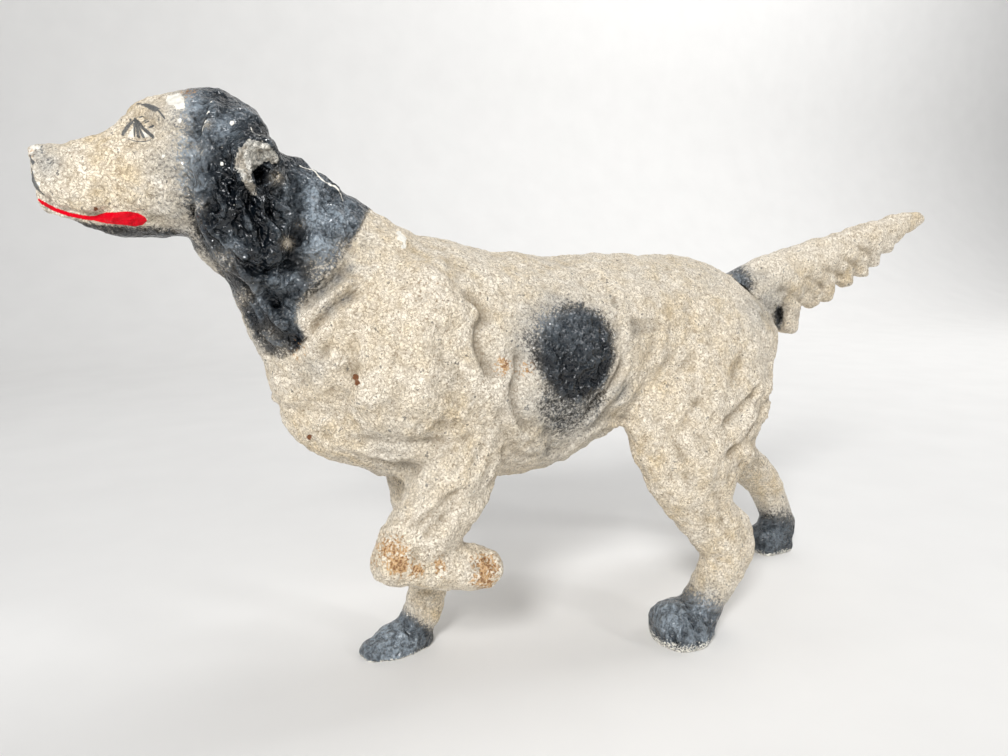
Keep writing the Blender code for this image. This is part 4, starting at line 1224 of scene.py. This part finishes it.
def enamel_on_iron(colours):
    """Old oven enamel and spray paint on rough cast iron.

    The cream is satin and has crazed, so grey dirt draws fine winding lines between small domes. The
    The black was sprayed over it: glossy and lumpy, with a painted blue-grey sheen on its high spots, and
    broken into specks at its edges. Black and grey are also laid on as painted shade under the jaw and in the
    tail's deep hollow, and some small white dots on the black are painted glints. The red of the mouth is
    glossy and clean.
    Chips show white primer, and rust has bled ochre and brown through the raised paw.
    """
    material, tree, shader, place = new_material("old_enamel_on_cast_iron")
    density = {
        name: add(tree, "ShaderNodeAttribute", output="Fac", attribute_name=name)
        for name in ENAMEL_DENSITIES
    }
    grain = enamel_grain(tree, place)

    # The crazing is about 1.5 mm from line to line, in a wide net and a narrow one.
    wide = crazing(tree, place, 2.0, 0.07)
    narrow = crazing(tree, place, 1.05, 0.07)
    cracks = add(tree, MATH, {0: wide, 1: narrow}, operation="MAXIMUM")
    patchy = add(tree, RANGE, {"Value": grain["fine"], "To Min": 0.2, "To Max": 1.0})
    dirt = add(tree, MATH, {0: cracks, 1: patchy}, operation="MULTIPLY")

    # The coats, from the lowest to the topmost.
    cream = cream_coat(tree, grain, density, dirt, colours)
    black, black_paint = black_coat(tree, grain, density, colours)
    wear = wear_masks(tree, grain, density)
    colour = layered(tree, cream, (
        (black, black_paint),
        (wear["red"], tuple(colours.red)),
        (wear["scuff"], tuple(colours.primer)),
        (wear["white"], tuple(colours.primer)),
        (add(tree, MATH, {0: wear["line"], 1: 0.88}, operation="MULTIPLY"), tuple(colours.line)),
        (wear["ear_chip"], chipped_ear(tree, grain, dirt, colours)),
        (add(tree, MATH, {0: wear["rust"], 1: 0.75}, operation="MULTIPLY"), tuple(colours.ochre)),
        (add(tree, MATH, {0: wear["deep_rust"], 1: 0.8}, operation="MULTIPLY"), tuple(colours.rust)),
        (wear["chip"], tuple(colours.rust)),
    ))
    tree.links.new(colour, shader.inputs["Base Color"])

    # Gloss: the black and the red shine, the cream is satin, and chips and rust are dull.
    coated = add(tree, RANGE, {"Value": density["black"], "From Min": 0.15, "From Max": 0.6})
    satin = add(tree, RANGE, {"Value": grain["fine"], "To Min": 0.42, "To Max": 0.62})
    glossy = add(tree, RANGE, {"Value": grain["medium"], "To Min": 0.07, "To Max": 0.19})
    bare = add(tree, MATH, {0: wear["deep_rust"], 1: wear["chip"]}, operation="MAXIMUM")
    roughness = blended(tree, satin, (
        (coated, glossy), (wear["red"], 0.16), (wear["white"], 0.5), (wear["ear_chip"], 0.6), (bare, 0.85)))
    tree.links.new(roughness, shader.inputs["Roughness"])
    gleam = blended(tree, 0.4, ((coated, 0.46), (wear["red"], 0.15)))
    tree.links.new(gleam, shader.inputs["Specular IOR Level"])

    relief = enamel_relief(tree, grain, cracks, coated, wear["red"], bare)
    bumpy = add(tree, "ShaderNodeBump", {"Strength": 1.0, "Distance": MM, "Height": relief}, "Normal")
    tree.links.new(bumpy, shader.inputs["Normal"])
    return material


def screw_steel(colours):
    """Plain machine-screw steel, gone dark with age: dull metal with brown rust in its low spots."""
    material, tree, shader, place = new_material("darkened_screw_steel")
    grain = grains(tree, place, {"fine": (0.5, 3.0, 0.6), "patch": (2.2, 4.0, 0.65)})
    rusty = add(tree, RANGE, {"Value": grain["patch"], "From Min": 0.5, "From Max": 0.8})
    rust = layered(tree, tuple(colours.rust), ((grain["fine"], tuple(colours.speck)),))
    colour = layered(tree, tuple(colours.steel), ((rusty, rust),))
    tree.links.new(colour, shader.inputs["Base Color"])
    worn = add(tree, RANGE, {"Value": grain["fine"], "To Min": 0.35, "To Max": 0.5})
    tree.links.new(blended(tree, worn, ((rusty, 0.85),)), shader.inputs["Roughness"])
    tree.links.new(blended(tree, 0.9, ((rusty, 0.1),)), shader.inputs["Metallic"])
    pitted = add(tree, MATH, {0: grain["fine"], 1: grain["patch"]}, operation="ADD")
    bumpy = add(tree, "ShaderNodeBump", {"Strength": 0.6, "Distance": 0.1 * MM, "Height": pitted}, "Normal")
    tree.links.new(bumpy, shader.inputs["Normal"])
    return material


def pale_paper(colour):
    """Matt sweep paper, with a faint mottle."""
    material, tree, shader, place = new_material("pale_sweep_paper")
    mottle = grains(tree, place, {"mottle": (60.0, 3.0, 0.5)})["mottle"]
    darker = tuple(c * 0.97 for c in colour[:3]) + (1.0,)
    tree.links.new(layered(tree, tuple(colour), ((mottle, darker),)), shader.inputs["Base Color"])
    shader.inputs["Roughness"].default_value = 0.9
    return material


def shared_material(name, make, details):
    """The material of that name, made the first time it is asked for."""
    return bpy.data.materials.get(name) or make(details)


def screw_wells():
    """Each screw head's recess: x, z and a radius just past its edge, in millimetres."""
    rim = 1.6
    wells = []
    for node in ("front_screw", "rear_screw"):
        low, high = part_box(node)
        wells.append(((low.x + high.x) / 2 / MM, (low.z + high.z) / 2 / MM, (high.x - low.x) / 2 / MM + rim))
    return wells


def make_casting(node, face, side, sizes):
    """A fine, even, softened copy of one half, with its skin and a search tree of its surface."""
    obj = merged_copy(node, node + "_enamelled")
    remeshed(obj, sizes.skin_step)
    wells = screw_wells() if side > 0 else []
    skin = Skin(obj, face, wells)
    thin_inside(obj, skin.outside, INSIDE_SHARE)
    Skin(obj, face, wells).soften(EASING_PASSES)
    tree = surface_tree(obj)
    zones = []
    for spot, radius, rounds in FINE_ZONES:
        place, way = photo_ray(spot, side)
        hit, _, _, _ = tree.ray_cast(place, way)
        if hit is not None:
            zones.append((hit, radius, rounds))
    refine(obj, zones)
    return obj, Skin(obj, face, wells), tree


def finish_casting(obj, node):
    """Gives a carved casting its enamel and puts it in its node's place."""
    obj.data.shade_smooth()
    obj.data.materials.clear()
    colours = bpy.context.scene.doorstop_paints
    obj.data.materials.append(shared_material("old_enamel_on_cast_iron", enamel_on_iron, colours))
    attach(obj, "root")
    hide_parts(node)


def laid_lines(drawn, tree, side):
    """Painted lines laid on the face, each with its half width."""
    laid = [(width, cast_line(line, tree, photo_ray, side, 0.2)) for width, line in drawn]
    return [(width, line) for width, line in laid if line is not None]


def dress_casting(node, face, side, strokes_of, feet, stains, foot_painted_sheen):
    """Makes, carves, paints and finishes one casting."""
    sizes = bpy.context.scene.doorstop_castings
    obj, skin, tree = make_casting(node, face, side, sizes)
    strokes = strokes_of(tree)
    coat = [line for _, line in strokes]
    coat += [line for line in (cast_line(lie, tree, photo_ray, side) for lie in COAT_LIE) if line is not None]
    carve(skin, strokes, coat, sizes)
    dark = laid_lines(DARK_LINES, tree, side)
    pale = laid_lines(PALE_LINES, tree, side)
    for name, values in paint_map(skin, feet, stains, foot_painted_sheen, dark, pale).items():
        store(obj, name, values)
    finish_casting(obj, node)


def left_strokes(tree):
    """All that is carved into the left casting."""
    return cast_strokes(BODY_STROKES + LEFT_LEG_STROKES, tree, photo_ray, -1)


def right_strokes(tree):
    """All that is carved into the right casting, with both sides of its tail."""
    tail = cast_strokes(TAIL_STROKES, tree, photo_ray, -1)
    tail += [(stroke, mirror(line)) for stroke, line in tail]
    legs = cast_strokes(RIGHT_LEG_STROKES, tree, side_ray, 1)
    return cast_strokes(BODY_STROKES + THIGH_STROKES, tree, photo_ray, 1) + legs + tail


class DOORSTOP_OT_left_casting(bpy.types.Operator):
    """Carve and paint the left casting, with the left hind leg and the raised foreleg"""
    bl_idname = "doorstop.left_casting"
    bl_label = "Left casting"

    def execute(self, context):
        dress_casting("left_half", LEFT_FACE, -1, left_strokes, LEFT_FEET, LEFT_LEG_STAINS, [])
        return {"FINISHED"}


class DOORSTOP_OT_right_casting(bpy.types.Operator):
    """Carve and paint the right casting, with the tail and the two legs it stands on"""
    bl_idname = "doorstop.right_casting"
    bl_label = "Right casting"

    def execute(self, context):
        dress_casting("right_half", RIGHT_FACE, 1, right_strokes, RIGHT_FEET, [], RIGHT_FOOT_PAINTED_SHEEN)
        return {"FINISHED"}


SCREW_INPUTS = {
    "Shank Length": "NodeSocketFloat",
    "Diameter": "NodeSocketFloat",
    "Thread Pitch": "NodeSocketFloat",
    "Thread Depth": "NodeSocketFloat",
    "Head Diameter": "NodeSocketFloat",
    "Head Height": "NodeSocketFloat",
    "Slot Width": "NodeSocketFloat",
    "Slot Depth": "NodeSocketFloat",
    "Place": "NodeSocketVector",
    "Finish": "NodeSocketMaterial",
}
SCREW_SIDES = 40
RINGS_TO_A_THREAD = 8
HEAD_FULLNESS = 0.8
THREAD_RUN_OUT = 1.5


def screw_tree():
    """Geometry Nodes that turn a slotted screw about Z, head up, and lay it along Y at its place."""
    tree = bpy.data.node_groups.new("slotted_screw", "GeometryNodeTree")
    tree.interface.new_socket("Geometry", in_out="OUTPUT", socket_type="NodeSocketGeometry")
    for name, kind in SCREW_INPUTS.items():
        tree.interface.new_socket(name, in_out="INPUT", socket_type=kind)
    given = tree.nodes.new("NodeGroupInput").outputs

    # The shank runs from inside the head, which hides its top, down to its tip.
    rooted = add(tree, MATH, {0: given["Head Height"], 1: 0.5}, operation="MULTIPLY")
    depth = add(tree, MATH, {0: given["Shank Length"], 1: rooted}, operation="ADD")
    turns = add(tree, MATH, {0: depth, 1: given["Thread Pitch"]}, operation="DIVIDE")
    rings = add(tree, MATH, {0: turns, 1: RINGS_TO_A_THREAD}, operation="MULTIPLY")
    radius = add(tree, MATH, {0: given["Diameter"], 1: 0.5}, operation="MULTIPLY")
    shank = add(tree, "GeometryNodeMeshCylinder", {
        "Vertices": SCREW_SIDES, "Side Segments": rings, "Radius": radius, "Depth": depth}, "Mesh")
    lift = add(tree, MATH, {0: depth, 1: -0.5, 2: rooted}, operation="MULTIPLY_ADD")
    drop = add(tree, "ShaderNodeCombineXYZ", {"Z": lift})
    shank = add(tree, "GeometryNodeTransform", {"Geometry": shank, "Translation": drop})

    # The thread: a groove that winds down one pitch a turn, and runs out below the head.
    spot = add(tree, "GeometryNodeInputPosition")
    apart = tree.nodes.new("ShaderNodeSeparateXYZ")
    tree.links.new(spot, apart.inputs[0])
    x, y, z = apart.outputs
    around = add(tree, MATH, {0: y, 1: x}, operation="ARCTAN2")
    around = add(tree, MATH, {0: around, 1: 2 * math.pi}, operation="DIVIDE")
    along = add(tree, MATH, {0: z, 1: given["Thread Pitch"]}, operation="DIVIDE")
    phase = add(tree, MATH, {0: along, 1: around}, operation="ADD")
    wave = add(tree, MATH, {0: phase, 1: 0.5}, operation="PINGPONG")
    groove = add(tree, RANGE, {"Value": wave, "From Min": 0.08, "From Max": 0.42})
    below = add(tree, MATH, {0: z, 1: -1.0}, operation="MULTIPLY")
    start = add(tree, MATH, {0: given["Thread Pitch"], 1: THREAD_RUN_OUT}, operation="MULTIPLY")
    fade = add(tree, RANGE, {"Value": below, "From Min": 0.0, "From Max": start})
    cut = add(tree, MATH, {0: groove, 1: fade}, operation="MULTIPLY")
    cut = add(tree, MATH, {0: cut, 1: given["Thread Depth"]}, operation="MULTIPLY")
    share = add(tree, MATH, {0: cut, 1: radius}, operation="DIVIDE")
    inwards = add(tree, "ShaderNodeCombineXYZ", {"X": x, "Y": y})
    back = add(tree, MATH, {0: share, 1: -1.0}, operation="MULTIPLY")
    offset = add(tree, "ShaderNodeVectorMath", {0: inwards, "Scale": back}, operation="SCALE")
    shank = add(tree, "GeometryNodeSetPosition", {"Geometry": shank, "Offset": offset})

    # The domed head: a sphere's upper half, with its lower half pressed flat into the seat.
    head_radius = add(tree, MATH, {0: given["Head Diameter"], 1: 0.5}, operation="MULTIPLY")
    ball = add(tree, "GeometryNodeMeshUVSphere", {"Segments": 48, "Rings": 24, "Radius": head_radius}, "Mesh")
    height = add(tree, MATH, {0: z, 1: head_radius}, operation="DIVIDE")
    height = add(tree, MATH, {0: height, 1: 0.0}, operation="MAXIMUM")
    height = add(tree, MATH, {0: height, 1: HEAD_FULLNESS}, operation="POWER")
    height = add(tree, MATH, {0: height, 1: given["Head Height"]}, operation="MULTIPLY")
    domed = add(tree, "ShaderNodeCombineXYZ", {"X": x, "Y": y, "Z": height})
    head = add(tree, "GeometryNodeSetPosition", {"Geometry": ball, "Position": domed})
    whole = tree.nodes.new("GeometryNodeMeshBoolean")
    whole.operation = "UNION"
    tree.links.new(head, whole.inputs["Mesh 2"])
    tree.links.new(shank, whole.inputs["Mesh 2"])

    # The slot.
    doubled = add(tree, MATH, {0: given["Slot Depth"], 1: 2.0}, operation="MULTIPLY")
    cutter_size = add(tree, "ShaderNodeCombineXYZ", {
        "X": add(tree, MATH, {0: given["Head Diameter"], 1: 2.0}, operation="MULTIPLY"),
        "Y": given["Slot Width"],
        "Z": doubled})
    cutter = add(tree, "GeometryNodeMeshCube", {"Size": cutter_size}, "Mesh")
    top = add(tree, "ShaderNodeCombineXYZ", {"Z": given["Head Height"]})
    cutter = add(tree, "GeometryNodeTransform", {"Geometry": cutter, "Translation": top})
    slotted = add(tree, "GeometryNodeMeshBoolean", {
        "Mesh 1": whole.outputs["Mesh"], "Mesh 2": cutter}, "Mesh", operation="DIFFERENCE")

    laid = add(tree, "GeometryNodeTransform", {
        "Geometry": slotted, "Translation": given["Place"], "Rotation": (math.radians(-90), 0.0, 0.0)})
    real = add(tree, "GeometryNodeRealizeInstances", {"Geometry": laid})
    finished = add(tree, "GeometryNodeSetMaterial", {"Geometry": real, "Material": given["Finish"]})
    tree.links.new(finished, tree.nodes.new("NodeGroupOutput").inputs[0])
    return tree


def make_screw(node, tree, sizes, finish):
    """One joining screw, threaded and slotted, in its node's place."""
    low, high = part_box(node)
    seat = high.y - sizes.head_height
    values = {
        "Shank Length": seat - low.y,
        "Diameter": sizes.diameter,
        "Thread Pitch": sizes.thread_pitch,
        "Thread Depth": sizes.thread_depth,
        "Head Diameter": high.x - low.x,
        "Head Height": sizes.head_height,
        "Slot Width": sizes.slot_width,
        "Slot Depth": sizes.slot_depth,
        "Place": ((low.x + high.x) / 2, seat, (low.z + high.z) / 2),
        "Finish": finish,
    }
    obj = new_object(node + "_threaded", bmesh.new())
    modifier = obj.modifiers.new("turned", "NODES")
    modifier.node_group = tree
    for item in tree.interface.items_tree:
        if item.in_out == "INPUT":
            modifier[item.identifier] = values[item.name]
    applied(obj)
    obj.data.shade_smooth()
    obj.data.set_sharp_from_angle(angle=math.radians(38))
    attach(obj, "root")
    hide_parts(node)


class DOORSTOP_OT_screws(bpy.types.Operator):
    """Turn the two joining screws"""
    bl_idname = "doorstop.screws"
    bl_label = "Joining screws"

    def execute(self, context):
        scene = context.scene
        finish = shared_material("darkened_screw_steel", screw_steel, scene.doorstop_paints)
        tree = screw_tree()
        for node in ("front_screw", "rear_screw"):
            make_screw(node, tree, scene.doorstop_screws, finish)
        return {"FINISHED"}


# The backdrop and the lamps, in metres.
BACKDROP_HALF_WIDTH = 3.0
BACKDROP_NEAR = -1.6
BACKDROP_FAR = 1.5
BACKDROP_HEIGHT = 2.2
CORNER_RADIUS = 0.6
CORNER_STEPS = 14
DOG_MIDDLE = (0.0, 0.0, 0.11)
KEY_PLACE = (-0.8, -0.95, 0.85)
KEY_SIZE = 0.3
FILL_PLACE = (0.8, -0.95, 0.6)
FILL_SIZE = 0.16
WASH_PLACE = (1.2, 0.3, 1.8)
WASH_TARGET = (1.3, 1.5, 0.5)
WASH_SIZE = 1.5


def sweep_profile():
    """The backdrop's side outline: flat floor, a round corner and a straight wall."""
    start = BACKDROP_FAR - CORNER_RADIUS
    points = [(BACKDROP_NEAR, 0.0), (start, 0.0)]
    for k in range(1, CORNER_STEPS + 1):
        angle = math.radians(90) * k / CORNER_STEPS
        points.append((start + CORNER_RADIUS * math.sin(angle), CORNER_RADIUS * (1.0 - math.cos(angle))))
    points.append((BACKDROP_FAR, BACKDROP_HEIGHT))
    return points


def made_backdrop(look):
    """The sweep of paper that the doorstop stands on."""
    bm = bmesh.new()
    ends = (-BACKDROP_HALF_WIDTH, BACKDROP_HALF_WIDTH)
    rows = [[bm.verts.new((x, y, z)) for x in ends] for y, z in sweep_profile()]
    for first, second in zip(rows, rows[1:]):
        bm.faces.new((first[0], first[1], second[1], second[0]))
    backdrop = new_object("backdrop", bm)
    backdrop.data.shade_smooth()
    backdrop.data.materials.append(pale_paper(look.floor))


def made_surround(look):
    """Even light from all round."""
    world = bpy.data.worlds.new("studio")
    world.use_nodes = True
    background = world.node_tree.nodes["Background"]
    background.inputs["Color"].default_value = look.surround
    background.inputs["Strength"].default_value = look.world_strength
    bpy.context.scene.world = world


def made_camera():
    """The camera that matches the photograph."""
    lens = bpy.data.cameras.new("photo_view")
    lens.lens = LENS
    lens.sensor_width = SENSOR
    lens.clip_start = 0.01
    camera = bpy.data.objects.new("photo_view", lens)
    _, _, forward = photo_axes()
    camera.location = CAMERA_PLACE
    camera.rotation_euler = Vector(forward).to_track_quat("-Z", "Y").to_euler()
    bpy.context.scene.collection.objects.link(camera)
    bpy.context.scene.camera = camera


def soft_lamp(name, place, target, size, power):
    """A square area lamp that looks at its target."""
    data = bpy.data.lights.new(name, "AREA")
    data.shape = "SQUARE"
    data.size = size
    data.energy = power
    lamp = bpy.data.objects.new(name, data)
    lamp.location = place
    aim = Vector(target) - Vector(place)
    lamp.rotation_euler = aim.to_track_quat("-Z", "Y").to_euler()
    bpy.context.scene.collection.objects.link(lamp)


class DOORSTOP_OT_stage(bpy.types.Operator):
    """Set the pale floor and backdrop, the soft lamps and the camera"""
    bl_idname = "doorstop.stage"
    bl_label = "Stage"

    def execute(self, context):
        look = context.scene.doorstop_stage
        made_backdrop(look)
        made_surround(look)
        soft_lamp("key", KEY_PLACE, DOG_MIDDLE, KEY_SIZE, look.key_power)
        soft_lamp("side_fill", FILL_PLACE, DOG_MIDDLE, FILL_SIZE, look.fill_power)
        soft_lamp("wall_wash", WASH_PLACE, WASH_TARGET, WASH_SIZE, look.wash_power)
        made_camera()
        context.scene.view_settings.view_transform = "Standard"
        return {"FINISHED"}


class DOORSTOP_PT_sidebar(bpy.types.Panel):
    """Lists the doorstop's settings and its pieces"""
    bl_idname = "DOORSTOP_PT_sidebar"
    bl_label = "Setter doorstop"
    bl_space_type = "VIEW_3D"
    bl_region_type = "UI"
    bl_category = "Doorstop"

    def draw(self, context):
        for group, settings in SETTINGS.items():
            box = self.layout.box()
            box.label(text=settings.__doc__)
            values = getattr(context.scene, group)
            for name in settings.__annotations__:
                box.prop(values, name)
        for operator in OPERATORS:
            self.layout.operator(operator.bl_idname)


SETTINGS = {
    "doorstop_castings": CastingSizes,
    "doorstop_screws": ScrewSizes,
    "doorstop_paints": PaintColours,
    "doorstop_stage": StageLook,
}
OPERATORS = (
    DOORSTOP_OT_left_casting,
    DOORSTOP_OT_right_casting,
    DOORSTOP_OT_screws,
    DOORSTOP_OT_stage,
)


def register():
    """Adds the settings, the operators and their panel to Blender."""
    for group in (*SETTINGS.values(), *OPERATORS, DOORSTOP_PT_sidebar):
        bpy.utils.register_class(group)
    for name, group in SETTINGS.items():
        setattr(bpy.types.Scene, name, bpy.props.PointerProperty(type=group))


def unregister():
    """Takes them out again."""
    for name in SETTINGS:
        delattr(bpy.types.Scene, name)
    for group in (DOORSTOP_PT_sidebar, *reversed(OPERATORS), *reversed(SETTINGS.values())):
        bpy.utils.unregister_class(group)


def main():
    """Registers the settings, dresses the frame and sets the stage."""
    register()
    bpy.ops.doorstop.left_casting()
    bpy.ops.doorstop.right_casting()
    bpy.ops.doorstop.screws()
    bpy.ops.doorstop.stage()


if __name__ == "__main__":
    main()
